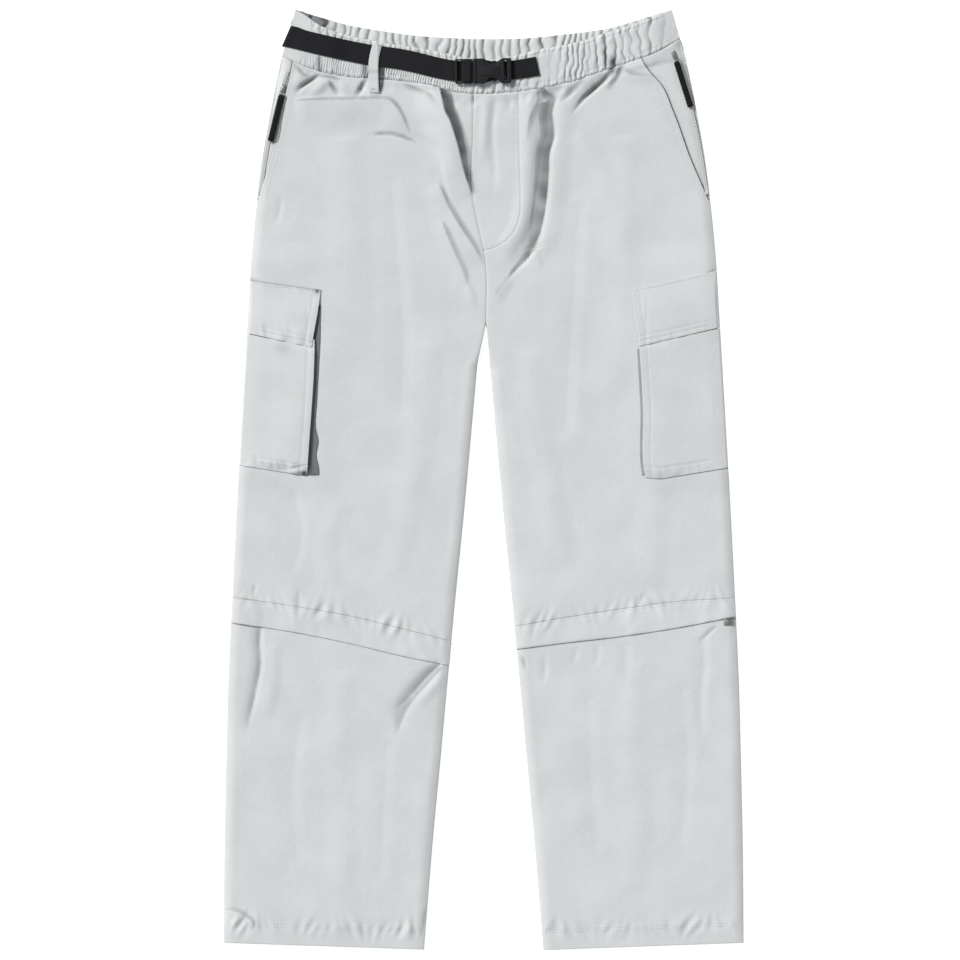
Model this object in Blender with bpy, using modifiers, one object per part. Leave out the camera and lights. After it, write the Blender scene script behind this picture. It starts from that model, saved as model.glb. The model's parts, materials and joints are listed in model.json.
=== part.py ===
"""Convertible zip-off trousers, laid flat with the belt fastened.

The trousers lie on the plane Z = 0, waist towards +Y and the wearer's left towards +X.
Sizes are in millimetres and become metres where a mesh is made.
"""

import math

import bmesh
import bpy
import numpy as np
from mathutils import Vector
from mathutils.bvhtree import BVHTree

MM = 0.001
SETTLE_TURNS = 12

# Cloth and seams
WALL = 1.5
GAP = 0.3
STEP_UP = WALL + GAP
BAND_WALL = 2.2
WEB_WALL = 1.2
WEB_WIDTH = 22.0

# Heights of the laid cloth
EDGE_TOP = 2 * WALL + 2 * GAP
BACK_GATHER = 0.9
LEG_TOP = 5.0
WAIST_TOP = 6.4
BAND_TOP = 8.2
EDGE_FALL = 20.0

# Levels along the leg
CROTCH = 172.0

# Pockets on the thigh
BELLOWS = 3.4
TURN_ROOM = 4.2
WING_WIDTH = 60.0
POCKET_LOW = 10.0
POCKET_HIGH = 230.0
POCKET_BLEND = 8.0

WING_SPARE = 30.0
WING_BLEND = 8.0

# The belt's turn round the side edge
BELT_RETURN = 42.0
BELT_EDGE = 212.5
BELT_SPARE = 18.0
BELT_BLEND = 10.0
BELT_LOW = 430.0
BELT_RISE = 15.0

# Zip fittings
SLIDER_THICK = 1.5
HIP_SLIDER_THICK = 1.8
SLIDER_LENGTH = 8.6
PULL_LENGTH = 52.0
PULL_WIDTH = 6.5
PULL_THICK = 2.6

# Buckle
BUCKLE_HALF = 13.6
BUCKLE_TILT = 1.0
PRONG_THICK = 2.4
SOCKET_THICK = 5.2
WELD = 0.000001


def smooth_line(rows):
    """A smooth function through rows of (position, value)."""
    keys, values = np.array(sorted(rows), dtype=float).T
    slopes = np.gradient(values, keys)

    def at(position):
        position = min(max(position, keys[0]), keys[-1])
        i = min(int(np.searchsorted(keys, position, side="right")) - 1, len(keys) - 2)
        span = keys[i + 1] - keys[i]
        t = (position - keys[i]) / span
        left = values[i] * (1 + 2 * t) * (1 - t) ** 2 + slopes[i] * span * t * (1 - t) ** 2
        right = values[i + 1] * t * t * (3 - 2 * t) + slopes[i + 1] * span * t * t * (t - 1)
        return float(left + right)

    return at


def straight_line(rows):
    """Straight runs through rows of (position, value)."""
    keys, values = np.array(sorted(rows), dtype=float).T
    return lambda position: float(np.interp(position, keys, values))


# Outlines: each row is (level along Y, distance from the middle)
side_edge = smooth_line([
    (507, 203.2), (489, 208), (457, 217.5), (431, 223.4), (388, 231.7), (345, 239.3),
    (302, 244.6), (237, 250.9), (172, 254.9), (86, 260), (-44, 267.3), (-130, 271.6),
    (-216, 275.6), (-303, 277.9), (-389, 279.8), (-508, 280.8),
])
inseam = smooth_line([
    (172, 2.6), (129, 6.2), (86, 10), (-44, 21.8), (-130, 30.5), (-216, 38.6),
    (-303, 46.5), (-389, 54.6), (-508, 64.3),
])
centre_front = smooth_line([
    (460, -9.8), (420, -10.4), (366, -11.8), (312, -12.6), (290, -9), (266, -3.8),
    (247, 0.2), (226, 2.8), (172, 2.6),
])
fly_stitch = smooth_line([
    (460, 36.8), (418, 37), (355, 38), (300, 39.4), (290, 39.2), (275, 35.6),
    (262, 28), (252, 15), (247, 4.4),
])
mouth_right = smooth_line([(460, -204.4), (451, -205.6), (415, -213.6), (363, -225.6), (302, -242.8)])
mouth_left = smooth_line([
    (460, 168.5), (451, 171.5), (439, 180), (428, 190), (396, 205), (346, 223.4), (302, 242.6),
])
zip_line = smooth_line([(460, 205), (452, 207.6), (404, 223), (357, 233.4), (306, 241.6)])

# Levels across the trousers: each row is (X, Y)
waist_seam = smooth_line([
    (-218, 457), (-198, 447.4), (-176, 439.6), (-149, 434.6), (-117, 432.2), (-90, 430), (-57, 424.2),
    (-25, 417), (-10, 416.2), (18, 416.6), (61, 422), (94, 428.6), (130, 441), (169, 454), (191, 463),
    (213, 477),
])
band_front_edge = smooth_line([
    (-203, 506.6), (-197, 503.6), (-175, 489), (-148, 480), (-108, 471.4), (-70, 465.6), (-39, 459.4),
    (-14, 454.4), (7, 453.2), (31, 457), (56, 463.4), (83, 468), (109, 474), (130, 481), (158, 490),
    (180, 498.6), (203, 506.8),
])
band_back_edge = smooth_line([
    (-203, 507), (-171, 497.4), (-149, 491.4), (-132, 488), (-106, 483.8), (-79, 480), (-36, 476.8),
    (7, 475.6), (50, 476.8), (83, 480.2), (115, 484), (137, 487.6), (158, 493.6), (180, 500.2), (203, 507),
])
back_seam = straight_line([(-203, 463), (-100, 439), (0, 431.6), (100, 439), (203, 463)])
hem_line = straight_line([(-281, -500), (-64, -507.4), (64, -508), (281, -500)])
knee_seam = {
    -1: smooth_line([(-274, -127), (-198, -138), (-149, -146.6), (-90, -160.6), (-30, -176)]),
    1: smooth_line([(30, -159.4), (83, -150), (148, -140), (212, -131.6), (274, -128)]),
}
flap_hem = {
    -1: smooth_line([(-274, -154), (-198, -166), (-144, -177), (-90, -190), (-30, -202)]),
    1: smooth_line([(30, -184), (83, -177), (148, -169.4), (212, -159.6), (274, -147.6)]),
}
belt_line = smooth_line([
    (-213, 478), (-168, 467.2), (-122, 457.8), (-86, 452.6), (-63, 447.4), (-46, 443.2),
    (-29, 440.6), (-12, 440), (30, 441.4), (60, 446),
])

# Folds in the cloth: height, half width, then the points that the fold runs through
FOLDS = [
    (4.6, 15, [(-66, 426), (-56, 408), (-47, 386), (-39, 362), (-33, 338), (-24, 316)]),
    (-1.6, 9, [(-40, 411), (-26, 390), (-18, 360), (-15, 330), (-12, 304)]),
    (-1.2, 8, [(-84, 427), (-62, 418)]),
    (4.2, 14, [(86, 420), (88, 396), (87, 362), (83, 320), (78, 284), (66, 252), (48, 232), (30, 218)]),
    (-1.5, 10, [(67, 414), (64, 380), (62, 330), (56, 288), (46, 262), (34, 240), (18, 226)]),
    (2.6, 13, [(-186, 402), (-150, 401), (-112, 402), (-96, 386), (-80, 366)]),
    (-1.0, 8, [(-196, 412), (-150, 411), (-106, 412)]),
    (2.2, 9, [(-172, 430), (-184, 418), (-198, 404)]),
    (2.4, 9, [(-128, 428), (-136, 414), (-142, 404)]),
    (-1.2, 7, [(-122, 430), (-131, 420), (-139, 408)]),
    (1.8, 14, [(-60, 330), (-42, 290), (-30, 250), (-24, 210)]),
    (1.6, 18, [(-150, 330), (-140, 250), (-138, 150)]),
    (3.2, 10, [(132, 438), (134, 424), (124, 404)]),
    (-1.4, 7, [(120, 434), (106, 420), (92, 404)]),
    (2.2, 9, [(152, 446), (166, 436), (184, 430)]),
    (1.6, 18, [(150, 330), (146, 250), (142, 150)]),
    (1.8, 16, [(104, 210), (84, 120), (76, 30)]),
    (1.4, 18, [(-96, 120), (-104, 20), (-112, -90)]),
    (1.6, 14, [(-54, -196), (-78, -222), (-96, -246)]),
    (1.5, 16, [(-236, -190), (-240, -230), (-252, -270)]),
    (1.3, 18, [(170, -190), (162, -280), (166, -380)]),
    (1.3, 18, [(-150, -250), (-160, -340), (-152, -430)]),
]

# Levels of the grid's rows between the knee and the waist
THIGH_ROWS = [
    -100, -50, 2, 10, 50, 100, 140, 172, 200, 230, 238, 247, 250, 256, 264, 275, 302, 326, 350, 373, 395,
]
LOWER_ROWS = [-470, -420, -370, -320, -285, -255, -225]


def ease(t):
    """A soft step from 0 to 1."""
    t = min(max(t, 0.0), 1.0)
    return t * t * (3 - 2 * t)


def pocket_share(y):
    """How much of the pocket's turn round the side edge there is at this level."""
    return ease((y - POCKET_LOW) / POCKET_BLEND + 1) * ease((POCKET_HIGH - y) / POCKET_BLEND + 1)


def outer_edge(y):
    """The leg's side edge, drawn in where the thigh pocket turns round it."""
    return side_edge(y) - TURN_ROOM * pocket_share(y)


def lift(x, y):
    """How far what passes beneath the trousers raises them."""
    inside = side_edge(y) - abs(x)
    under_pocket = pocket_share(y) * ease((WING_WIDTH + WING_SPARE - inside) / WING_BLEND)
    near_belt = ease((BELT_RETURN + BELT_SPARE - (BELT_EDGE + x)) / BELT_BLEND)
    under_belt = near_belt * ease((y - BELT_LOW) / BELT_RISE)
    return STEP_UP * max(under_pocket, under_belt)


def back_layer(x, y):
    """Height of the back of the trousers, which the front lies on."""
    band = ease((y - back_seam(x) + 14) / 8)
    return lift(x, y) + WALL + (BAND_WALL + BACK_GATHER - WALL) * band


def fold_height(x, y):
    """The sum of the folds that pass near this point."""
    total = 0.0
    for height, half_width, points in FOLDS:
        near = half_width
        for (ax, ay), (bx, by) in zip(points, points[1:]):
            run = (bx - ax, by - ay)
            t = ((x - ax) * run[0] + (y - ay) * run[1]) / (run[0] ** 2 + run[1] ** 2)
            t = min(max(t, 0.0), 1.0)
            near = min(near, math.hypot(x - ax - t * run[0], y - ay - t * run[1]))
        total += height * (1 - (near / half_width) ** 2) ** 2
    return total


def cloth_top(x, y):
    """Height of the front panels' upper side."""
    room = outer_edge(y) - abs(x)
    if y < CROTCH:
        room = min(room, abs(x) - inseam(y) + 0.4 * max(y - CROTCH + 40, 0))
    full = ease(0.3 + 0.7 * room / EDGE_FALL) if room > 0 else ease(0.3)
    full = (full - ease(0.3)) / (1 - ease(0.3))
    plain = LEG_TOP + (WAIST_TOP - LEG_TOP) * ease((y - 340) / 70)
    hem = ease((y + 508) / 24) if y < -480 else 1.0
    rise = (plain - EDGE_TOP) * (0.4 + 0.6 * hem) + fold_height(x, y)
    return back_layer(x, y) + 2 * GAP + WALL + max(rise, 0.0) * full


def gathers(x, count, uneven):
    """A row of soft gathers across the band, from 0 to 1, uneven in width."""
    along = (x + 203) / 406
    turn = count * along + uneven * (math.sin(17 * along) + 0.6 * math.sin(41 * along + 1))
    return 0.5 + 0.5 * math.cos(2 * math.pi * turn)


def band_top(x, y):
    """Height of the waistband's front, over the back of the band."""
    room = ease((side_edge(y) - abs(x)) / 24)
    low = lift(x, y) + BAND_WALL + BACK_GATHER + 2 * GAP + BAND_WALL
    depth = 0.7 if x < -10 else 1.1
    count = 44 if x < -10 else 27
    return low + (BAND_TOP - low + lift(x, y)) * room + depth * gathers(x, count, 0.5) * room


def new_material(name, colour, roughness, metallic=0.0):
    """A plain Principled material."""
    material = bpy.data.materials.new(name)
    material.use_nodes = True
    shader = material.node_tree.nodes["Principled BSDF"]
    shader.inputs["Base Color"].default_value = (*colour, 1)
    shader.inputs["Roughness"].default_value = roughness
    shader.inputs["Metallic"].default_value = metallic
    return material


def add_object(name, mesh, material, smooth=True):
    """Puts a mesh into the trousers' collection."""
    mesh.materials.append(MATERIALS[material])
    if smooth:
        mesh.shade_smooth()
        mesh.set_sharp_from_angle(angle=math.radians(40))
    obj = bpy.data.objects.new(name, mesh)
    COLLECTION.objects.link(obj)
    return obj


def grid_mesh(across, along, place):
    """A grid whose cells follow two lists of shares, each corner put where place says."""
    bm = bmesh.new()
    bmesh.ops.create_grid(bm, x_segments=len(across) - 1, y_segments=len(along) - 1, size=0.5)
    for vert in bm.verts:
        i = round((vert.co.x + 0.5) * (len(across) - 1))
        j = round((vert.co.y + 0.5) * (len(along) - 1))
        vert.co = Vector(place(across[i], along[j])) * MM
    return bm


def thicken_down(bm, wall):
    """Closes a grid into a wall whose lower side is the upper one moved straight down."""
    made = bmesh.ops.extrude_face_region(bm, geom=bm.faces[:], use_keep_orig=True)
    for part in made["geom"]:
        if isinstance(part, bmesh.types.BMVert):
            part.co.z -= wall * MM
    bmesh.ops.recalc_face_normals(bm, faces=bm.faces[:])


def finish(name, bm, material):
    """Makes the object of a finished bmesh."""
    mesh = bpy.data.meshes.new(name)
    bm.to_mesh(mesh)
    bm.free()
    return add_object(name, mesh, material)


def row_level(mark, x, low, high):
    """The level of a row: a share of the whole height, or a fixed level and a share of the way past it."""
    if not isinstance(mark, tuple):
        return low(x) + (high(x) - low(x)) * mark
    level, share = mark
    if share > 0:
        return level + (high(x) - level) * share
    if share < 0:
        return level - (low(x) - level) * share
    return level


def panel(name, across, along, outline, top, wall=WALL, material="cloth"):
    """A cloth panel between two side lines and two end lines."""
    left, right, low, high = outline

    def place(u, mark):
        x = 0.0
        y = 0.0
        for _ in range(SETTLE_TURNS):
            y = row_level(mark, x, low, high)
            x = left(y) + (right(y) - left(y)) * u
        return x, y, top(x, y)

    bm = grid_mesh(across, along, place)
    thicken_down(bm, wall)
    return finish(name, bm, material)


def rows(levels, low_steps=0, high_steps=0):
    """Row marks: fixed levels, with shares of the way to the lower and the upper line."""
    marks = [(levels[0], -i / low_steps) for i in range(low_steps, 0, -1)]
    marks += [(level, 0) for level in levels]
    marks += [(levels[-1], i / high_steps) for i in range(1, high_steps + 1)]
    return marks


def shares(count):
    """Even shares from 0 to 1."""
    return [i / count for i in range(count + 1)]


def make_surface(parts):
    """A search tree of the upper sides of these objects or meshes."""
    verts = []
    polygons = []
    for part in parts:
        mesh = part if isinstance(part, bpy.types.Mesh) else part.data
        start = len(verts)
        verts += [vert.co.copy() for vert in mesh.vertices]
        polygons += [[start + i for i in polygon.vertices] for polygon in mesh.polygons]
    return BVHTree.FromPolygons(verts, polygons)


def rest_height(tree, x, y, reach=3.0, floor=0.0):
    """The highest point of a surface within reach of this place."""
    best = floor
    for dx in (-reach, 0, reach):
        for dy in (-reach, 0, reach):
            hit = tree.ray_cast(Vector(((x + dx) * MM, (y + dy) * MM, 1.0)), Vector((0, 0, -1)))
            if hit[0] is not None:
                best = max(best, hit[0].z / MM)
    return best


def start_scene():
    """Clears the scene and makes the collection."""
    for obj in list(bpy.data.objects):
        bpy.data.objects.remove(obj, do_unlink=True)
    collection = bpy.data.collections.new("zip_off_trousers")
    bpy.context.scene.collection.children.link(collection)
    return collection


COLLECTION = start_scene()
MATERIALS = {
    "cloth": new_material("cloth", (0.65, 0.67, 0.66), 0.75),
    "gusset_cloth": new_material("gusset_cloth", (0.60, 0.62, 0.61), 0.8),
    "webbing": new_material("webbing", (0.02, 0.022, 0.025), 0.8),
    "buckle_plastic": new_material("buckle_plastic", (0.015, 0.015, 0.018), 0.45),
    "pull_rubber": new_material("pull_rubber", (0.01, 0.01, 0.012), 0.55),
    "pull_cord": new_material("pull_cord", (0.18, 0.18, 0.19), 0.8),
    "zip_coil": new_material("zip_coil", (0.5, 0.51, 0.51), 0.6),
    "slider_metal": new_material("slider_metal", (0.6, 0.6, 0.58), 0.35, 1.0),
}
SIDES = {"right": -1, "left": 1}
EDGE_SHARES = [0, 0.03, 0.08, 0.15, 0.24, 0.34, 0.45, 0.56, 0.67, 0.77, 0.86, 0.93, 0.97, 1]
FRONT_SHARES = [0, 0.04, 0.1, 0.17, 0.24, 0.31, 0.38, 0.45, 0.52, 0.59, 0.66, 0.73, 0.8, 0.87, 0.95, 1]
BACK_SHARES = [0, 0.2, 0.45, 0.66, 0.71, 0.86, 1]


def back_top(x, y):
    """Upper side of the back panels, which lie on the floor."""
    return WALL + lift(x, y)


def back_inner(sign):
    """Inner edge of a back panel: the seat seam, then the inseam."""
    def at(y):
        return sign * max(inseam(y) if y < CROTCH else 0.0, GAP / 2)
    return at


def front_inner(sign):
    """Inner edge of a front panel: the centre seam or the fly, then the inseam."""
    def at(y):
        if y < CROTCH:
            return sign * inseam(y) if sign > 0 else -inseam(y) + 2 * inseam(CROTCH) * ease((y - 120) / 52)
        if sign < 0:
            return centre_front(y) - GAP / 2
        return max(centre_front(y), fly_stitch(y) if y > 246.5 else -300) + GAP
    return at


def front_outer(sign):
    """Outer edge of a front panel: the pocket mouth, then the side edge."""
    mouth = mouth_right if sign < 0 else mouth_left
    return lambda y: mouth(y) if y > 302 else sign * outer_edge(y)


def ordered(one, other, sign):
    """The two side lines of a panel in order along X."""
    return (other, one) if sign < 0 else (one, other)


def make_legs():
    """Front and back panels, above and below the knee."""
    made = {}
    for side, sign in SIDES.items():
        seam = knee_seam[sign]
        flip = (lambda s: [1 - u for u in reversed(s)]) if sign < 0 else (lambda s: s)
        outer = lambda y, sign=sign: sign * outer_edge(y)
        lines = ordered(front_inner(sign), front_outer(sign), sign)
        made["front_" + side] = panel(
            "front_" + side, flip(FRONT_SHARES), rows(THIGH_ROWS, 2, 4),
            (*lines, lambda x, seam=seam: seam(x) + GAP / 2, lambda x: waist_seam(x) - GAP / 2), cloth_top)
        lines = ordered(back_inner(sign), outer, sign)
        back_marks = rows([-100, 2, 6, 10, 90, 172, 230, 234, 238, 320, 395], 1, 4)
        panel("back_" + side, flip(BACK_SHARES), back_marks,
              (*lines, lambda x, seam=seam: seam(x) + GAP / 2, lambda x: back_seam(x) - GAP), back_top)
        panel("lower_back_" + side, flip(BACK_SHARES), rows([-470, -350, -225], 1, 1),
              (*lines, hem_line, lambda x, seam=seam: seam(x) - GAP / 2), back_top)
        lines = ordered(lambda y, sign=sign: sign * inseam(y), outer, sign)
        zip_low = lambda x, sign=sign: 0.45 * knee_seam[sign](x) + 0.55 * flap_hem[sign](x)
        made["lower_front_" + side] = panel(
            "lower_front_" + side, flip(EDGE_SHARES), rows(LOWER_ROWS, 2, 2),
            (*lines, hem_line, lambda x, zip_low=zip_low: zip_low(x) - GAP), cloth_top)
        made["knee_zip_" + side] = panel(
            "knee_zip_" + side, flip(EDGE_SHARES), shares(1),
            (*lines, zip_low, lambda x, seam=seam: seam(x) - GAP / 2), cloth_top, material="zip_coil")
    return made


def make_fly():
    """The fly's outer layer, between the centre seam and its J-shaped stitching."""
    marks = rows([level for level in THIGH_ROWS if level >= 247], 0, 4)
    lines = (lambda y: centre_front(y) + GAP / 2, lambda y: fly_stitch(y) - GAP / 2)
    return panel("fly", shares(4), marks, (*lines, None, lambda x: waist_seam(x) - GAP / 2), cloth_top)


def make_hip_panels():
    """The side panel behind each hip pocket's mouth."""
    made = {}
    for side, sign in SIDES.items():
        mouth = mouth_right if sign < 0 else mouth_left
        marks = rows([level for level in THIGH_ROWS if level > 303], 0, 4)
        lines = ordered(lambda y, mouth=mouth, sign=sign: mouth(y) + sign * GAP,
                        lambda y, sign=sign: sign * outer_edge(y), sign)
        count = 3 if sign < 0 else 5
        made["hip_panel_" + side] = panel(
            "hip_panel_" + side, shares(count), marks,
            (*lines, None, lambda x: waist_seam(x) - GAP / 2),
            lambda x, y: max(cloth_top(x, y) - 0.5, EDGE_TOP + lift(x, y)))
    return made


def make_band():
    """The waistband: two fronts that meet at the centre seam, and the back."""
    made = {}
    front_low = lambda x: waist_seam(x) + GAP / 2
    for side, sign in SIDES.items():
        centre = lambda y, sign=sign: centre_front(y) + sign * GAP / 2
        outer = lambda y, sign=sign: sign * side_edge(y)
        made["band_front_" + side] = panel(
            "waistband_front_" + side, shares(64 if sign < 0 else 56), shares(2),
            (*ordered(centre, outer, sign), front_low, band_front_edge), band_top, BAND_WALL)

    def back_band_top(x, y):
        return BAND_WALL + lift(x, y) + BACK_GATHER * gathers(x, 31, 0.4)

    def back_band_low(x, y):
        return lift(x, y)

    bm = grid_mesh(shares(124), shares(1), lambda u, v: place_back_band(u, v, back_band_top))
    made_geom = bmesh.ops.extrude_face_region(bm, geom=bm.faces[:], use_keep_orig=True)
    for part in made_geom["geom"]:
        if isinstance(part, bmesh.types.BMVert):
            part.co.z = back_band_low(part.co.x / MM, part.co.y / MM) * MM
    bmesh.ops.recalc_face_normals(bm, faces=bm.faces[:])
    finish("waistband_back", bm, "cloth")
    return made


def place_back_band(u, v, top):
    """A point of the back of the band, from its shares across and up."""
    x = 0.0
    y = 0.0
    for _ in range(SETTLE_TURNS):
        low = back_seam(x) + GAP / 2
        y = low + (band_back_edge(x) - low) * v
        edge = side_edge(y)
        x = -edge + 2 * edge * u
    return x, y, top(x, y)


def overlay(name, across, along, outline, tree, wall, extra, material, reach=3.0):
    """A panel that lies on the surface below it."""
    def top(x, y):
        return rest_height(tree, x, y, reach) + GAP + extra(x, y) + wall
    return panel(name, across, along, outline, top, wall, material)


def over_slider(x):
    """How far the flap stands up over the slider beneath it."""
    return (SLIDER_THICK + 2 * GAP) * ease((abs(x) - 236) / 12) * ease((275 - abs(x)) / 5)


def make_knees(panels):
    """The flap that covers each knee zip, and the slider that shows at its end."""
    for side, sign in SIDES.items():
        tree = make_surface([panels["knee_zip_" + side], panels["lower_front_" + side]])
        lines = ordered(lambda y, sign=sign: sign * inseam(y),
                        lambda y, sign=sign: sign * outer_edge(y), sign)
        flip = (lambda s: [1 - u for u in reversed(s)]) if sign < 0 else (lambda s: s)
        outline = (*lines, flap_hem[sign], lambda x, sign=sign: knee_seam[sign](x) - GAP / 2)
        slider = lambda x, y, sign=sign: over_slider(x) if sign < 0 else 0.0
        overlay("knee_flap_" + side, flip(EDGE_SHARES), shares(3), outline, tree, WALL, slider, "cloth")


def box_object(name, size, centre, turn, material, bevel=0.6, segments=1):
    """A block with softened edges."""
    bm = bmesh.new()
    bmesh.ops.create_cube(bm, size=1.0)
    for vert in bm.verts:
        vert.co = Vector([vert.co[i] * size[i] * MM for i in range(3)])
    if bevel:
        bmesh.ops.bevel(bm, geom=bm.edges[:], offset=bevel * MM, offset_type="OFFSET", segments=segments,
                        affect="EDGES", profile=0.5, material=-1)
    mesh = bpy.data.meshes.new(name)
    bm.to_mesh(mesh)
    bm.free()
    obj = add_object(name, mesh, material)
    obj.location = Vector(centre) * MM
    obj.rotation_euler = (0, 0, turn)
    return obj


def make_sliders(panels):
    """A knee slider on each leg: under the flap on the right leg, clear of it on the left."""
    for side, x, y in (("right", -258, -143.5), ("left", 263, -155)):
        tree = make_surface([panels["knee_zip_" + side], panels["lower_front_" + side]])
        z = rest_height(tree, x, y, 5.5) + GAP
        box_object("knee_slider_" + side, (10, 6.5, SLIDER_THICK), (x, y, z + SLIDER_THICK / 2), 0.06,
                   "slider_metal", 0.4)


def make_hip_zips(panels):
    """The coil, slider and pull of each hip pocket."""
    places = {}
    for side, sign in SIDES.items():
        tree = make_surface([panels["hip_panel_" + side], panels["front_" + side]])
        half = 1.8
        marks = rows([308, 326, 350, 373, 395, 410, 425, 440])
        line = lambda y, sign=sign: sign * zip_line(y)
        outline = (lambda y, line=line: line(y) - half, lambda y, line=line: line(y) + half, None, None)
        strip = overlay("hip_zip_" + side, shares(1), marks, outline, tree, 1.0,
                        lambda x, y: 0.0, "zip_coil", 2.0)
        slider_y = 422.0 if sign < 0 else 458.0
        pull_top = slider_y - SLIDER_LENGTH / 2 - 2.2
        over = make_surface([panels["hip_panel_" + side], panels["front_" + side], strip])
        turn = math.atan2(zip_line(pull_top - PULL_LENGTH) - zip_line(pull_top), PULL_LENGTH) * sign
        x = sign * zip_line(slider_y) + (1.0 if sign < 0 else 0.0)
        z = rest_height(over, x, slider_y, 4.5) + GAP
        box_object("hip_slider_" + side, (5.2, SLIDER_LENGTH, HIP_SLIDER_THICK),
                   (x, slider_y, z + HIP_SLIDER_THICK / 2), turn, "slider_metal", 0.5)
        places[side] = (over, turn, sign, pull_top)
    return places


def make_pulls(places):
    """A rubber pull with a cord beside it, each on an empty at its hinge."""
    for side, (tree, turn, sign, pull_top) in places.items():
        x0 = sign * zip_line(pull_top) + (2.0 if sign < 0 else 0.0)
        down = Vector((math.sin(turn), -math.cos(turn), 0))
        across = Vector((math.cos(turn), math.sin(turn), 0))
        rest = 0.0
        for share in np.linspace(0.0, 1.0, 12):
            for offset in (-4.0, 0.0, 4.0, 7.0):
                at = Vector((x0, pull_top, 0)) + down * (share * PULL_LENGTH) + across * offset
                rest = max(rest, rest_height(tree, at.x, at.y, 1.5))
        z = rest + GAP + PULL_THICK / 2
        hinge = bpy.data.objects.new("hinge_" + side, None)
        COLLECTION.objects.link(hinge)
        hinge.location = Vector((x0, pull_top, z)) * MM
        hinge.rotation_euler = (0, 0, turn)
        bar = box_object("pull_" + side, (PULL_WIDTH, PULL_LENGTH, PULL_THICK),
                         (0, -PULL_LENGTH / 2 - 0.5, 0), 0, "pull_rubber", 1.0, 2)
        bar.parent = hinge
        cord = bpy.data.curves.new("pull_cord_" + side, "CURVE")
        cord.dimensions = "3D"
        cord.bevel_depth = 0.7 * MM
        cord.bevel_resolution = 1
        cord.use_fill_caps = True
        spline = cord.splines.new("POLY")
        beside = PULL_WIDTH / 2
        points = [(0.6, 0.6), (beside + 1.5, 0.5), (beside + 2.1, -8), (beside + 2.0, -26),
                  (beside + 2.9, -42), (beside + 1.3, -PULL_LENGTH + 1)]
        spline.points.add(len(points) - 1)
        for point, (px, py) in zip(spline.points, points):
            point.co = (px * MM, py * MM, -0.2 * MM, 1)
        cord.materials.append(MATERIALS["pull_cord"])
        cord_object = bpy.data.objects.new("pull_cord_" + side, cord)
        COLLECTION.objects.link(cord_object)
        cord_object.parent = hinge


def thigh_pocket_lines(sign):
    """Outline of a thigh pocket: flap top, flap hem, foot and the inner edge, as straight lines."""
    if sign < 0:
        return {
            "top": straight_line([(-255, 216), (-176, 204.6)]),
            "hem": straight_line([(-256, 158), (-182, 141.6)]),
            "foot": straight_line([(-265, 15.6), (-188, 3.4)]),
            "flap_inner": straight_line([(142, -180.6), (205, -174.6)]),
            "inner": straight_line([(3, -190.6), (142, -182)]),
        }
    return {
        "top": straight_line([(159, 205), (255, 226)]),
        "hem": straight_line([(166, 143), (257, 164.4)]),
        "foot": straight_line([(176, 2), (190, 0.6), (265, 12.8)]),
        "flap_inner": straight_line([(143, 168), (205, 159.4)]),
        "inner": straight_line([(0, 175), (10, 173.2), (76, 172.2), (143, 168)]),
    }


def wrapped_sheet(name, along, lines, tree, height, material):
    """A sheet on the thigh that turns round the side edge and ends under the leg."""
    inner, low, high, sign = lines
    top_shares = [0, 0.06, 0.2, 0.4, 0.6, 0.8, 0.93]
    columns = [("top", share) for share in top_shares]
    columns += [("turn", share) for share in (0.0, 0.25, 0.5, 0.75, 1.0)]
    columns += [("under", share) for share in (0.35, 0.7, 1.0)]

    def place(column, v):
        part, share = column
        x = sign * 200.0
        y = 0.0
        for _ in range(SETTLE_TURNS):
            lower = low(x, part)
            y = lower + (high(x, part) - lower) * v
            edge = side_edge(y)
            if part == "top":
                x = inner(y) + (sign * (edge - 3.5) - inner(y)) * share
            else:
                x = sign * edge
        edge_x = sign * (side_edge(y) - 3.5)
        edge_z = rest_height(tree, sign * (side_edge(y) - 7), y, 2.5) + GAP + WALL + 0.3
        if part == "top":
            z = rest_height(tree, x, y, 3.0) + GAP + WALL + height(share, v)
            blend = ease((share - 0.6) / 0.33)
            return x, y, max(z, edge_z) * blend + z * (1 - blend)
        if part == "turn":
            angle = math.pi * share
            return edge_x + sign * 3.5 * math.sin(angle), y, edge_z / 2 * (1 + math.cos(angle))
        return edge_x - sign * (WING_WIDTH - 6) * share, y, 0.0

    bm = grid_mesh(columns, along, place)
    bmesh.ops.recalc_face_normals(bm, faces=bm.faces[:])
    top_face = max(bm.faces, key=lambda face: face.calc_center_median().z)
    if top_face.normal.z < 0:
        bmesh.ops.reverse_faces(bm, faces=bm.faces[:])
    obj = finish(name, bm, material)
    wall = obj.modifiers.new("wall", "SOLIDIFY")
    wall.thickness = WALL * MM
    wall.offset = -1
    wall.use_even_offset = True
    return obj


def finished_mesh(obj):
    """A mesh of the object with its modifiers applied."""
    bpy.context.view_layer.update()
    graph = bpy.context.evaluated_depsgraph_get()
    return bpy.data.meshes.new_from_object(obj.evaluated_get(graph))


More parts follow.
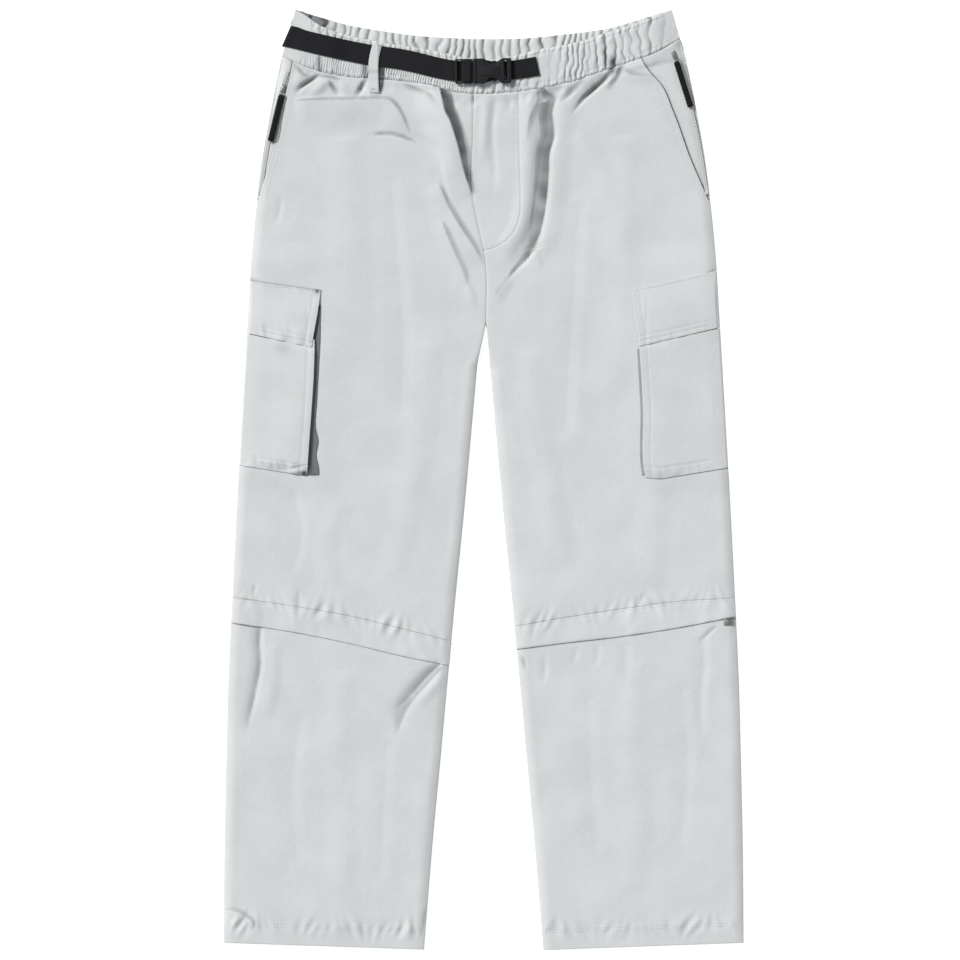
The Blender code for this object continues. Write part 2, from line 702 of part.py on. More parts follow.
def make_thigh_pockets(panels):
    """The bag, its bellows strip and its flap on each thigh."""
    for side, sign in SIDES.items():
        lines = thigh_pocket_lines(sign)
        tree = make_surface([panels["front_" + side]])
        puff = BELLOWS if sign < 0 else 1.6

        def bag_height(share, v, puff=puff):
            ends = ease(v / 0.07) * ease((1 - v) / 0.1 + 0.4)
            return 0.1 + puff * ends * ease((1 - share) / 0.8)

        def under_flap(x, part, lines=lines):
            return lines["hem"](x) + (9 if part == "top" and abs(x) < 222 else -2 * GAP)

        bag = wrapped_sheet("cargo_pocket_" + side, [0, 0.035, 0.08, 0.25, 0.45, 0.65, 0.85, 0.94, 1],
                            (lines["inner"], lambda x, part, lines=lines: lines["foot"](x), under_flap,
                             sign),
                            tree, bag_height, "cloth")
        over = make_surface([panels["front_" + side], finished_mesh(bag)])

        def flap_height(share, v):
            return 0.1 + 0.5 * ease((1 - v) / 0.5)

        wrapped_sheet("cargo_flap_" + side, [0, 0.12, 0.3, 0.55, 0.8, 0.94, 1],
                      (lines["flap_inner"], lambda x, part, lines=lines: lines["hem"](x),
                       lambda x, part, lines=lines: lines["top"](x), sign), over, flap_height, "cloth")
        make_bellows(side, sign, lines, tree, puff)


def make_bellows(side, sign, lines, tree, puff):
    """The folded strip between a thigh pocket's bag and the leg."""
    wide = 7.0 if sign < 0 else 2.6
    levels = [6, 14, 40, 70, 100, 130, 138]
    strip = lambda y: lines["inner"](y) - sign * (wide + GAP)
    edges = (strip, lambda y: lines["inner"](y) - sign * GAP)
    if sign < 0:
        edges = edges[::-1]

    def rise(x, y):
        share = 1 - abs(x - strip(y)) / wide
        return puff * (0.12 + 0.5 * (1 - share)) * ease((y - 2) / 14)

    overlay("cargo_gusset_" + side, shares(3), rows(levels), (*edges, None, None), tree, 1.2, rise,
            "gusset_cloth", 2.0)


def ribbon(name, stations, material, width=WEB_WIDTH, wall=WEB_WALL):
    """A strip of webbing through stations of (x, y, z, width direction), thickened outwards."""
    def place(station, v):
        x, y, z, across = station
        return x + across[0] * width * (v - 0.5), y + across[1] * width * (v - 0.5), z
    bm = grid_mesh(stations, [0, 1], place)
    bm.normal_update()
    if max(bm.faces, key=lambda face: face.calc_center_median().z).normal.z < 0:
        bmesh.ops.reverse_faces(bm, faces=bm.faces[:])
    obj = finish(name, bm, material)
    solid = obj.modifiers.new("wall", "SOLIDIFY")
    solid.thickness = wall * MM
    solid.offset = 1
    solid.use_even_offset = True
    return obj


def make_belt(tree):
    """The webbing belt, its tab beyond the buckle, and the level the buckle lies at."""
    def across(x):
        slope = (belt_line(x + 2) - belt_line(x - 2)) / 4
        length = math.hypot(1, slope)
        return -slope / length, 1 / length

    def lying(x):
        near = [rest_height(tree, x - across(x)[0] * w, belt_line(x) + across(x)[1] * w, 3.5)
                for w in (-11, -6, 0, 6, 11)]
        return max(near) + GAP

    buckle_z = max(lying(x) for x in (-30, -24, -18, -12, -6, 0, 8, 16, 24, 31))
    stations = []
    left = -BELT_EDGE
    turn_top = lying(left + 4)
    for share in (1.0, 0.5, 0.0):
        x = left + BELT_RETURN * share
        stations.append((x, belt_line(left) - (x - left) * 0.24, WEB_WALL, across(left)))
    for angle in (-60, -30, 0, 30, 60):
        bend = math.radians(angle)
        middle = WEB_WALL + (turn_top - WEB_WALL) / 2
        stations.append((left - 2.6 * math.cos(bend), belt_line(left),
                         middle + (turn_top - WEB_WALL) / 2 * math.sin(bend), across(left)))
    run = [left, -206, -198, -188, -176, -162, -148, -134, -120, -106, -92, -78, -64, -52, -42]
    for x in run:
        stations.append((x, belt_line(x), max(lying(x), turn_top if x < -208 else 0), across(x)))
    for x, rise in ((-32, 0), (-25.6, 0), (-22.4, 4.2), (-14.2, 4.2), (-12.6, 0.8)):
        stations.append((x, belt_line(x), buckle_z + rise, across(-20)))
    ribbon("belt", stations, "webbing")
    tab = [(23.3, 3.0), (24.9, 0.0), (31.0, 0.0)]
    stations = [(x, belt_line(x), buckle_z + rise, across(x)) for x, rise in tab]
    for x in (38, 46, 53, 59):
        stations.append((x, belt_line(x), lying(x), across(x)))
    ribbon("belt_tab", stations, "webbing", WEB_WIDTH - 1.5)
    return buckle_z


def outline_solid(name, points, low, high, bevel):
    """A flat outline raised between two heights, with softened edges."""
    curve = bpy.data.curves.new(name, "CURVE")
    curve.dimensions = "2D"
    curve.fill_mode = "BOTH"
    curve.extrude = (high - low) / 2 * MM
    spline = curve.splines.new("POLY")
    spline.points.add(len(points) - 1)
    for point, (x, y) in zip(spline.points, points):
        point.co = (x * MM, y * MM, 0, 1)
    spline.use_cyclic_u = True
    holder = bpy.data.objects.new(name + "_outline", curve)
    COLLECTION.objects.link(holder)
    mesh = finished_mesh(holder)
    bpy.data.objects.remove(holder, do_unlink=True)
    bm = bmesh.new()
    bm.from_mesh(mesh)
    bmesh.ops.remove_doubles(bm, verts=bm.verts[:], dist=WELD)
    bmesh.ops.dissolve_limit(bm, angle_limit=math.radians(1), verts=bm.verts[:], edges=bm.edges[:])
    bmesh.ops.translate(bm, verts=bm.verts[:], vec=(0, 0, (low + high) / 2 * MM))
    bmesh.ops.recalc_face_normals(bm, faces=bm.faces[:])
    if bevel:
        rims = [edge for edge in bm.edges
                if abs(edge.verts[0].co.z - edge.verts[1].co.z) < WELD and edge.calc_face_angle(0) > 1]
        bmesh.ops.bevel(bm, geom=rims, offset=bevel * MM, offset_type="OFFSET", segments=1,
                        affect="EDGES", profile=0.5, material=-1)
    bm.to_mesh(mesh)
    bm.free()
    mesh.materials.clear()
    return mesh


def add_buckle_half(name, upper, low, high, bevel, place, tilt, slots):
    """One half of the buckle, the same above and below its middle, with its slots cut through."""
    outline = [(x, -y) for x, y in upper] + [(x, y) for x, y in reversed(upper)]
    half = add_object(name, outline_solid(name, outline, low, high, bevel), "buckle_plastic", False)
    half.location = place
    half.rotation_euler = (0, 0, tilt)
    for slot, (left, right, tall) in slots.items():
        cutter = box_cutter(slot, (right - left, tall, 16), ((left + right) / 2, 0, low), place, tilt)
        cut = half.modifiers.new(slot, "BOOLEAN")
        cut.operation = "DIFFERENCE"
        cut.object = cutter


def make_buckle(level):
    """The side-release buckle: the pronged half with its bars, and the socket half."""
    low = WEB_WALL + GAP
    tilt = math.radians(BUCKLE_TILT)
    place = Vector((0, 440.2, level)) * MM
    pronged = [(-30.6, 12.2), (-29.4, BUCKLE_HALF), (-12, BUCKLE_HALF), (-9.4, 12.9), (1.2, 12.9),
               (3.6, 11.6), (6, 10.0), (9, 9.1), (13.6, 9.1), (13.6, 7.4), (-8.4, 7.4)]
    add_buckle_half("buckle_prongs", pronged, low, low + PRONG_THICK, 0, place, tilt,
                    {"slot_outer": (-28.4, -22.0, 23.4), "slot_inner": (-14.6, -10.9, 23.4)})
    socket = [(-7.9, 7.1), (14.0, 7.1), (14.5, 8.4), (15.0, 10.2), (17, 12), (19.6, 13.3),
              (29, BUCKLE_HALF), (30.2, 12.2)]
    add_buckle_half("buckle_socket", socket, low, low + SOCKET_THICK, 0.7, place, tilt,
                    {"slot_tab": (22.5, 26.7, 22.6)})


def box_cutter(name, size, centre, place, tilt):
    """A cutting block, kept out of the model."""
    bm = bmesh.new()
    bmesh.ops.create_cube(bm, size=1.0)
    for vert in bm.verts:
        vert.co = Vector([(vert.co[i] * size[i] + centre[i]) * MM for i in range(3)])
    mesh = bpy.data.meshes.new(name)
    bm.to_mesh(mesh)
    bm.free()
    cutter = bpy.data.objects.new(name, mesh)
    CUTTERS.objects.link(cutter)
    cutter.location = place
    cutter.rotation_euler = (0, 0, tilt)
    cutter.hide_render = True
    cutter.display_type = "WIRE"
    return cutter


def make_belt_loop(tree, panels):
    """The cloth loop that holds the belt down near the right hip."""
    under = make_surface([panels["front_right"], finished_mesh(bpy.data.objects["belt"])])
    centre = smooth_line([(470, -112.6), (453, -117.4), (433, -118.6), (411, -117)])
    width = 12.0
    stations = []
    for y in (468.5, 464, 457.5, 446, 443, 436, 430, 424.5, 419):
        x = centre(y)
        spots = [max(rest_height(under, x + w, y, 4.0), rest_height(tree, x + w, y, 4.0))
                 for w in (-6, -2, 2, 6)]
        stations.append((x, y, max(spots) + 2 * GAP, (1, 0)))
    ribbon("belt_loop", stations, "cloth", width, 1.2)


CUTTERS = bpy.data.collections.new("cutters")
bpy.context.scene.collection.children.link(CUTTERS)
leg_panels = make_legs()
leg_panels["fly"] = make_fly()
leg_panels.update(make_hip_panels())
band_panels = make_band()
make_knees(leg_panels)
make_sliders(leg_panels)
make_pulls(make_hip_zips(leg_panels))
make_thigh_pockets(leg_panels)
band_surface = make_surface([band_panels["band_front_right"], band_panels["band_front_left"]])
buckle_level = make_belt(band_surface)
make_buckle(buckle_level)
make_belt_loop(band_surface, leg_panels)
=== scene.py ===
import json
import math
import bmesh
import bpy
import numpy as np
from mathutils import Matrix, Vector, noise
from mathutils.bvhtree import BVHTree


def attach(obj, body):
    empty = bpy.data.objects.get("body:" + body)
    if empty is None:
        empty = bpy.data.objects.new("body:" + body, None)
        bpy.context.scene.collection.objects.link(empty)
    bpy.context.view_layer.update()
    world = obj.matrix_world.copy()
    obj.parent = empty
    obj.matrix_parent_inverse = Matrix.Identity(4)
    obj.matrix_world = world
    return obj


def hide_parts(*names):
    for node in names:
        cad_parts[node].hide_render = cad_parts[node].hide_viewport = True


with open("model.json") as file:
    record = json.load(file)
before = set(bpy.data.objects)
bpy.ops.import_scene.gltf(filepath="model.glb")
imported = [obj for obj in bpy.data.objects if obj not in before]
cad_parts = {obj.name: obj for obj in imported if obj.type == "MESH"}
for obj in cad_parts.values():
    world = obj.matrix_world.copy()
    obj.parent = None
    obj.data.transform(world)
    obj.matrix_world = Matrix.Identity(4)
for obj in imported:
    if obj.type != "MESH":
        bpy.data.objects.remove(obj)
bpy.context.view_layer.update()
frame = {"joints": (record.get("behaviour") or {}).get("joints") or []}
mm = 0.001  # tables below are in millimetres
sides = {"right": -1, "left": 1}  # the wearer's right is at -X
print("frame loaded")


# Camera, floor and light

studio = {
    "pixel": 1.08,  # millimetres across one pixel of the picture
    "aim": (-3.8, -0.5),  # what lies at the middle of the picture
    "cameraHeight": 6.0,
    "floorDrop": 0.0006,
    "keyFrom": (-0.78, 0.60, 1.0), "keyAngle": 16.0, "keyStrength": 3.0,
    "skyStrength": 0.38,
    "exposure": 0.0,
}


def hexColour(code):  # an sRGB hex colour turned to linear
    parts = [int(code[i:i + 2], 16) / 255 for i in (0, 2, 4)]
    return (*[c / 12.92 if c <= 0.04045 else ((c + 0.055) / 1.055) ** 2.4 for c in parts], 1.0)


def addNode(tree, kind, settings=None, links=None):  # one node, its values and what feeds it
    node = tree.nodes.new(kind)
    for key, value in (settings or {}).items():
        if key == "stops":  # positions and colours along a ramp
            for stop, (position, code) in zip(node.color_ramp.elements, value):
                stop.position, stop.color = position, hexColour(code)
        elif key in node.inputs:
            node.inputs[key].default_value = value
        else:
            setattr(node, key, value)
    linkInto(tree, node, links or {})
    return node


def linkInto(tree, node, links):
    for key, source in links.items():
        tree.links.new(source, node.inputs[key])


def startFinish(name, values):  # a node material whose shader holds these values
    material = bpy.data.materials.new(name)
    material.use_nodes = True
    shader = material.node_tree.nodes["Principled BSDF"]
    for key, value in values.items():
        shader.inputs[key].default_value = value
    return material, material.node_tree, shader


def makeCamera():
    data = bpy.data.cameras.new("cameraAbove")
    data.sensor_width = 36
    data.lens = 36 * studio["cameraHeight"] / (960 * studio["pixel"] * mm)
    data.clip_end = 50
    camera = bpy.data.objects.new("cameraAbove", data)
    camera.location = (studio["aim"][0] * mm, studio["aim"][1] * mm, studio["cameraHeight"])
    bpy.context.scene.collection.objects.link(camera)
    bpy.context.scene.camera = camera


def makeKeyLight():  # one wide soft lamp far off to the upper left, so that the light is even
    data = bpy.data.lights.new("keyLight", "SUN")
    data.energy = studio["keyStrength"]
    data.angle = math.radians(studio["keyAngle"])
    data.color = hexColour("fffefd")[:3]
    lamp = bpy.data.objects.new("keyLight", data)
    lamp.location = Vector(studio["keyFrom"]) * 4
    lamp.rotation_euler = (-Vector(studio["keyFrom"])).to_track_quat("-Z", "Y").to_euler()
    bpy.context.scene.collection.objects.link(lamp)


def makeFloor():
    bm = bmesh.new()
    bmesh.ops.create_grid(bm, x_segments=1, y_segments=1, size=6)
    bmesh.ops.translate(bm, vec=(0, 0, -studio["floorDrop"]), verts=bm.verts)
    mesh = bpy.data.meshes.new("floor")
    bm.to_mesh(mesh)
    bm.free()
    floor = bpy.data.objects.new("floor", mesh)
    bpy.context.scene.collection.objects.link(floor)
    paper = startFinish("whiteMattPaper", {  # white and even, lit from behind, so that shadows stay pale
        "Base Color": hexColour("d8d8d8"), "Emission Color": hexColour("ffffff"), "Emission Strength": 0.75,
        "Roughness": 0.95, "Specular IOR Level": 0.1})[0]
    mesh.materials.append(paper)


def makeStudio():
    makeCamera()
    makeFloor()
    makeKeyLight()
    world = bpy.data.worlds.new("softSky")
    world.use_nodes = True
    sky = world.node_tree.nodes["Background"]
    sky.inputs["Color"].default_value = hexColour("fbfcff")
    sky.inputs["Strength"].default_value = studio["skyStrength"]
    bpy.context.scene.world = world
    bpy.context.scene.view_settings.view_transform = "Standard"
    bpy.context.scene.view_settings.exposure = studio["exposure"]


# Lines of the cut, as they lie

def smoothLine(rows):  # a smooth function through rows of (position, value)
    keys, values = np.array(sorted(rows), dtype=float).T
    slopes = np.gradient(values, keys)

    def at(position):
        p = np.clip(np.asarray(position, dtype=float), keys[0], keys[-1])
        i = np.clip(np.searchsorted(keys, p, side="right") - 1, 0, len(keys) - 2)
        span = keys[i + 1] - keys[i]
        t = (p - keys[i]) / span
        left = values[i] * (1 + 2 * t) * (1 - t) ** 2 + slopes[i] * span * t * (1 - t) ** 2
        right = values[i + 1] * t * t * (3 - 2 * t) + slopes[i + 1] * span * t * t * (t - 1)
        return left + right

    return at


def straightLine(rows):
    keys, values = np.array(sorted(rows), dtype=float).T
    return lambda position: np.interp(position, keys, values)


# Outlines: rows of (level along Y, distance from the middle)
sideEdge = smoothLine([
    (507, 203.2), (489, 208), (457, 217.5), (431, 223.4), (388, 231.7), (345, 239.3),
    (302, 244.6), (237, 250.9), (172, 254.9), (86, 260), (-44, 267.3), (-130, 271.6),
    (-216, 275.6), (-303, 277.9), (-389, 279.8), (-508, 280.8),
])
inseam = smoothLine([
    (172, 2.6), (129, 6.2), (86, 10), (-44, 21.8), (-130, 30.5), (-216, 38.6),
    (-303, 46.5), (-389, 54.6), (-508, 64.3),
])
centreFront = smoothLine([
    (460, -9.8), (420, -10.4), (366, -11.8), (312, -12.6), (290, -9), (266, -3.8),
    (247, 0.2), (226, 2.8), (172, 2.6),
])
flyStitch = smoothLine([
    (460, 36.8), (418, 37), (355, 38), (300, 39.4), (290, 39.2), (275, 35.6),
    (262, 28), (252, 15), (247, 4.4),
])
mouth = {
    "right": smoothLine([(460, -204.4), (451, -205.6), (415, -213.6), (363, -225.6), (302, -242.8)]),
    "left": smoothLine([(460, 168.5), (451, 171.5), (439, 180), (428, 190), (396, 205), (346, 223.4),
                        (302, 242.6)]),
}
zipLine = smoothLine([(460, 205), (452, 207.6), (404, 223), (357, 233.4), (306, 241.6)])
# Levels across the trousers: rows of (X, Y)
waistSeam = smoothLine([
    (-218, 457), (-198, 447.4), (-176, 439.6), (-149, 434.6), (-117, 432.2), (-90, 430), (-57, 424.2),
    (-25, 417), (-10, 416.2), (18, 416.6), (61, 422), (94, 428.6), (130, 441), (169, 454), (191, 463),
    (213, 477),
])
bandFrontEdge = smoothLine([
    (-203, 506.6), (-197, 503.6), (-175, 489), (-148, 480), (-108, 471.4), (-70, 465.6), (-39, 459.4),
    (-14, 454.4), (7, 453.2), (31, 457), (56, 463.4), (83, 468), (109, 474), (130, 481), (158, 490),
    (180, 498.6), (203, 506.8),
])
bandBackEdge = smoothLine([
    (-203, 507), (-171, 497.4), (-149, 491.4), (-132, 488), (-106, 483.8), (-79, 480), (-36, 476.8),
    (7, 475.6), (50, 476.8), (83, 480.2), (115, 484), (137, 487.6), (158, 493.6), (180, 500.2), (203, 507),
])
backSeam = straightLine([(-203, 463), (-100, 439), (0, 431.6), (100, 439), (203, 463)])
hemLine = straightLine([(-281, -500), (-64, -507.4), (64, -508), (281, -500)])
kneeSeam = {
    "right": smoothLine([(-274, -127), (-198, -138), (-149, -146.6), (-90, -160.6), (-30, -176)]),
    "left": smoothLine([(30, -159.4), (83, -150), (148, -140), (212, -131.6), (274, -128)]),
}
flapHem = {
    "right": smoothLine([(-274, -154), (-198, -166), (-144, -177), (-90, -190), (-30, -202)]),
    "left": smoothLine([(30, -184), (83, -177), (148, -169.4), (212, -159.6), (274, -147.6)]),
}
beltLine = smoothLine([
    (-213, 478), (-168, 467.2), (-122, 457.8), (-86, 452.6), (-63, 447.4), (-46, 443.2),
    (-29, 440.6), (-12, 440), (30, 441.4), (60, 446),
])

layers = {  # how the laid cloth stacks up
    "cloth": 0.8, "backTop": 1.2, "edgeTop": 1.9, "legTop": 5.2, "waistTop": 6.6,
    "edgeRound": 11.0, "stepUp": 1.8, "wing": 60.0, "turnRoom": 4.2, "crotch": 172.0,
    "pocketLow": 10.0, "pocketHigh": 230.0, "beltEdge": 212.5, "beltReturn": 42.0,
    "bandWall": 2.2, "bandTop": 8.2, "backGather": 0.9,
}


def ease(t):  # a smooth step from 0 to 1
    t = np.clip(t, 0.0, 1.0)
    return t * t * (3 - 2 * t)


def bell(far, width, power=2):  # 1 at the middle, falling off over this width
    return np.exp(-(far / width) ** power)


def pocketShare(y):  # 1 beside a thigh pocket, 0 above and below it
    return ease((y - layers["pocketLow"]) / 8 + 1) * ease((layers["pocketHigh"] - y) / 8 + 1)


def outerEdge(y, sign):  # the side edge, drawn in just where a thigh pocket turns round it
    low = np.where(sign < 0, 15.4, 12.6)
    high = np.where(sign < 0, 216.4, 226.4)
    return sideEdge(y) - layers["turnRoom"] * ease((y - low) / 2.5) * ease((high - y) / 2.5)


def lift(x, y):  # how far a pocket or the belt beneath raises the cloth
    inside = sideEdge(y) - np.abs(x)
    underPocket = pocketShare(y) * ease((layers["wing"] + 30 - inside) / 8)
    nearBelt = ease((layers["beltReturn"] + 18 - (layers["beltEdge"] + x)) / 10)
    return layers["stepUp"] * np.maximum(underPocket, nearBelt * ease((y - 430) / 15))


def softLift(x, y):  # the same rise as the cloth above takes it, with long soft slopes
    inside = sideEdge(y) - np.abs(x)
    share = ease((y - layers["pocketLow"]) / 30 + 1) * ease((layers["pocketHigh"] - y) / 30 + 1)
    underPocket = share * ease((layers["wing"] + 62 - inside) / 40)
    nearBelt = ease((layers["beltReturn"] + 40 - (layers["beltEdge"] + x)) / 32)
    return np.maximum(layers["stepUp"] * np.maximum(underPocket, nearBelt * ease((y - 415) / 30)), lift(x, y))


# Creases: height, reach to the left of the way it runs, reach to the right, then its points.
# A short reach makes the steep side of a fold.
creases = [
    # the deep fold left of the fly, and the trough beside it
    (8.5, 12, 34, [(-49, 440), (-47, 424), (-44, 409), (-41, 397), (-35.5, 386), (-27.5, 361), (-21, 334),
                   (-14, 313), (-11, 306)]),
    (-3.0, 5, 8, [(-36, 422), (-32, 404), (-26, 388), (-20.5, 368), (-17, 345), (-14, 322)]),
    (-2.6, 4, 3.5, [(-12.5, 424), (-11.5, 414), (-10.5, 402)]),
    (-1.3, 6, 8, [(12.5, 420), (13, 402), (10, 382), (11, 360), (12.5, 330), (11, 300)]),
    (1.5, 8, 8, [(2, 420), (3, 396), (0, 366), (-1, 336)]),
    (-2.6, 4, 4, [(58, 430), (59.5, 420), (61, 410)]),
    (-1.2, 4, 7, [(28, 420), (30, 408), (27, 392)]),
    (-1.8, 8, 7, [(-88, 428), (-68, 421), (-57, 415), (-44, 398)]),
    (2.0, 10, 8, [(-78, 436), (-62, 428), (-50, 424)]),
    (2.0, 6, 26, [(-49, 322), (-36, 292), (-20, 266), (-8, 248), (0, 232)]),
    (1.4, 6, 18, [(-46, 282), (-34, 252), (-22, 226), (-15, 204)]),
    (1.2, 5, 12, [(-18, 211), (-13, 203), (-8, 184)]),
    # the fold right of the fly
    (-6.0, 4, 20, [(60, 428), (68, 419), (77, 411), (74, 396), (76, 372), (71, 352), (70, 330), (68, 305),
                   (64, 280), (58, 258), (48, 240), (34, 226), (20, 210)]),
    (2.4, 14, 14, [(46, 418), (48, 380), (46, 340), (44, 300), (38, 272), (28, 256), (16, 240)]),
    (1.5, 18, 12, [(88, 414), (84, 380), (80, 340), (76, 300), (68, 262), (52, 240)]),
    (1.6, 6, 6, [(50, 246), (57, 240), (64, 228)]),
    (1.4, 7, 16, [(57, 430), (59, 413), (50, 391), (46, 360)]),
    (1.6, 12, 5, [(30, 222), (18, 206), (8, 190)]),
    # the pressed fold across the right hip
    (2.6, 4, 34, [(-204, 409), (-180, 410), (-150, 410), (-118, 411), (-102, 410), (-92, 400), (-84, 385),
                  (-78, 368)]),
    (-2.4, 4, 4, [(-205, 450), (-193, 437), (-184, 434)]),
    (-5.0, 3, 5, [(-175, 438), (-184, 431), (-196, 423), (-203, 415)]),
    (1.8, 9, 9, [(-190, 440), (-198, 432), (-206, 420)]),
    (2.0, 8, 8, [(-168, 432), (-178, 422), (-190, 414)]),
    (-4.4, 3, 4, [(-178, 436), (-162, 434), (-153, 430)]),
    (-4.6, 3, 5, [(-166, 431), (-160, 422), (-153, 414)]),
    (1.8, 8, 8, [(-152, 432), (-150, 424), (-143, 414)]),
    (-5.4, 3.5, 6, [(-124, 436), (-129, 426), (-133, 418), (-140, 409)]),
    (1.8, 8, 7, [(-110, 430), (-118, 420), (-128, 411)]),
    (-2.6, 2.4, 4, [(-120, 372.5), (-106, 373.4), (-92, 372), (-76, 365.6), (-70, 358)]),
    (-1.2, 9, 14, [(-76, 376), (-52, 355), (-45, 329), (-38, 300), (-34, 276)]),
    (1.2, 10, 16, [(-62, 384), (-36, 352), (-30, 322)]),
    (-0.9, 6, 8, [(-218, 310), (-220, 288), (-226, 272)]),
    # the bunch under the band near the left hip
    (4.6, 7, 7, [(140, 452), (142, 441), (134, 428), (131, 420)]),
    (-5.2, 3.5, 6, [(146, 455), (134, 434), (118, 419), (106, 408), (92, 391)]),
    (2.6, 10, 6, [(132, 440), (120, 428), (104, 416), (92, 404)]),
    (-1.8, 4, 6, [(106, 426), (94, 416), (80, 405)]),
    (1.8, 8, 6, [(92, 428), (88, 418), (78, 410)]),
    (1.8, 5, 14, [(148, 444), (158, 438), (172, 436), (184, 437)]),
    (-1.2, 5, 7, [(180, 438), (194, 430), (205, 419), (214, 414)]),
    (3.0, 6, 6, [(150, 452), (146, 446), (138, 442)]),
    (-4.0, 3, 5, [(143, 456), (138, 447), (140, 438), (134, 430)]),
    (-1.6, 4, 9, [(62, 430), (74, 424), (88, 428)]),
    (-1.5, 4, 8, [(112, 440), (104, 428), (92, 418), (84, 412)]),
    (1.0, 16, 16, [(96, 372), (124, 340), (136, 300)]),
    # broad drape of the legs
    (1.3, 26, 30, [(-150, 372), (-146, 300), (-140, 220), (-142, 120)]),
    (-0.9, 20, 24, [(-100, 330), (-92, 240), (-86, 150), (-90, 60)]),
    (1.0, 22, 22, [(-60, 150), (-66, 60), (-84, -30), (-100, -110)]),
    (1.2, 24, 30, [(150, 372), (152, 280), (146, 180), (136, 80)]),
    (-0.9, 20, 22, [(104, 300), (98, 210), (92, 120), (88, 40)]),
    (1.0, 20, 24, [(48, 140), (60, 60), (72, -20), (90, -100)]),
    (0.9, 20, 26, [(190, 0), (182, -60), (190, -120)]),
    (-0.8, 14, 18, [(-206, -10), (-196, -60), (-210, -110)]),
    (0.9, 18, 18, [(-150, -20), (-170, -70), (-160, -120)]),
    (-1.9, 9, 13, [(-241, -158), (-242, -180), (-241, -200), (-247, -232), (-257, -275)]),
    (1.1, 12, 16, [(-228, -176), (-228, -220), (-238, -262)]),
    (-2.6, 5, 8, [(-44, -196), (-52, -204), (-63, -215), (-84, -238), (-100, -252)]),
    (-1.6, 9, 22, [(-44, -202), (-60, -220), (-82, -246), (-96, -280)]),
    (-1.6, 4, 7, [(40, -188), (44, -195), (46, -208)]),
    (-1.2, 7, 9, [(66, -188), (67, -204), (64, -222)]),
    (-1.1, 6, 8, [(101, -180), (100, -190), (97, -202)]),
    (-1.1, 7, 9, [(123, -176), (124, -190), (120, -204)]),
    (-1.1, 12, 14, [(153, -174), (154, -200), (150, -236)]),
    (-1.3, 14, 16, [(236, -168), (238, -200), (234, -240), (238, -280)]),
    (-1.5, 4, 6, [(252, -158), (243, -166), (232, -177)]),
    (-1.6, 2.5, 3, [(-62.5, -460), (-65, -480), (-69, -498)]),
    (1.8, 12, 8, [(-40, -210), (-58, -226), (-76, -246)]),
    (0.9, 20, 24, [(-150, -206), (-158, -290), (-150, -380), (-156, -450)]),
    (-0.7, 18, 22, [(-196, -250), (-206, -330), (-200, -420)]),
    (-0.7, 18, 18, [(-104, -280), (-108, -360), (-112, -440)]),
    (0.9, 22, 24, [(168, -190), (160, -290), (166, -380), (160, -450)]),
    (-0.7, 18, 22, [(214, -220), (220, -310), (212, -400)]),
    (-0.7, 20, 18, [(112, -230), (116, -320), (122, -410)]),
    (-1.3, 5, 6, [(175, -122), (171, -130), (166, -138)]),
    (-1.2, 5, 6, [(-246, -112), (-247, -120), (-249, -128)]),
    (-1.3, 4, 5, [(-198, -118), (-199, -128), (-200, -138)]),
    (1.8, 4, 9, [(-279, -463), (-263, -467), (-249, -478), (-253, -489)]),
]


def roundedPath(points, steps=5):  # a soft curve through a few points, of two or more numbers each
    p = np.array([points[0], *points, points[-1]], dtype=float)
    out = []
    for i in range(1, len(p) - 2):
        a, b, c, d = p[i - 1:i + 3]
        for t in np.linspace(0, 1, steps, endpoint=False):
            out.append(0.5 * (2 * b + (c - a) * t + (2 * a - 5 * b + 4 * c - d) * t * t
                              + (3 * b - a - 3 * c + d) * t ** 3))
    return np.array([*out, p[-2]])


creasePaths = [(height, left, right, roundedPath(points)) for height, left, right, points in creases]


def fadedEnds(along, path, start, end):  # a crease runs out softly over so many millimetres
    length = float(np.linalg.norm(np.diff(path, axis=0), axis=1).sum())
    start, end = min(start, length / 2), min(end, length / 2)
    return ease((along * length + 0.15 * start) / start) * ease((1 - along) * length / end)


def pathDistance(px, py, path):  # distance to a path, its side of it, and the share of the way along it
    best = np.full(px.shape, 1e9)
    signed = np.zeros_like(px)
    along = np.zeros_like(px)
    count = len(path) - 1
    for i, (a, b) in enumerate(zip(path, path[1:])):
        run = b - a
        t = np.clip(((px - a[0]) * run[0] + (py - a[1]) * run[1]) / max(run @ run, 1e-9), 0, 1)
        dx, dy = px - a[0] - t * run[0], py - a[1] - t * run[1]
        far = np.hypot(dx, dy)
        closer = far < best
        best = np.where(closer, far, best)
        signed = np.where(closer, np.where(run[0] * dy - run[1] * dx > 0, 1.0, -1.0), signed)
        along = np.where(closer, (i + t) / count, along)
    return best, signed, along


def creaseHeight(x, y):  # what all the creases add at these places
    total = np.zeros_like(x)
    for height, left, right, path in creasePaths:
        reach = max(left, right)
        low, high = path.min(0) - reach, path.max(0) + reach
        near = (x > low[0]) & (x < high[0]) & (y > low[1]) & (y < high[1])
        if not near.any():
            continue
        best, signed, along = pathDistance(x[near], y[near], path)
        share = best / np.where(signed > 0, left, right)
        shape = np.clip(1 - share, 0, 1)
        crisp = shape ** 1.6
        shape = shape * shape * (3 - 2 * shape)
        uneven = max(left, right) > 1.6 * min(left, right)
        if uneven:  # a crest with a sharp drop on its short side
            shape = np.where((signed > 0) == (left < right), crisp, shape)
        elif height < 0:  # a pinched crease: one wall is steep
            shape = np.where(signed > 0, np.clip(1 - 1.8 * share, 0, 1), crisp)
        total[near] += height * shape * fadedEnds(along, path, 16, 22 + 7 * abs(height))
    return total


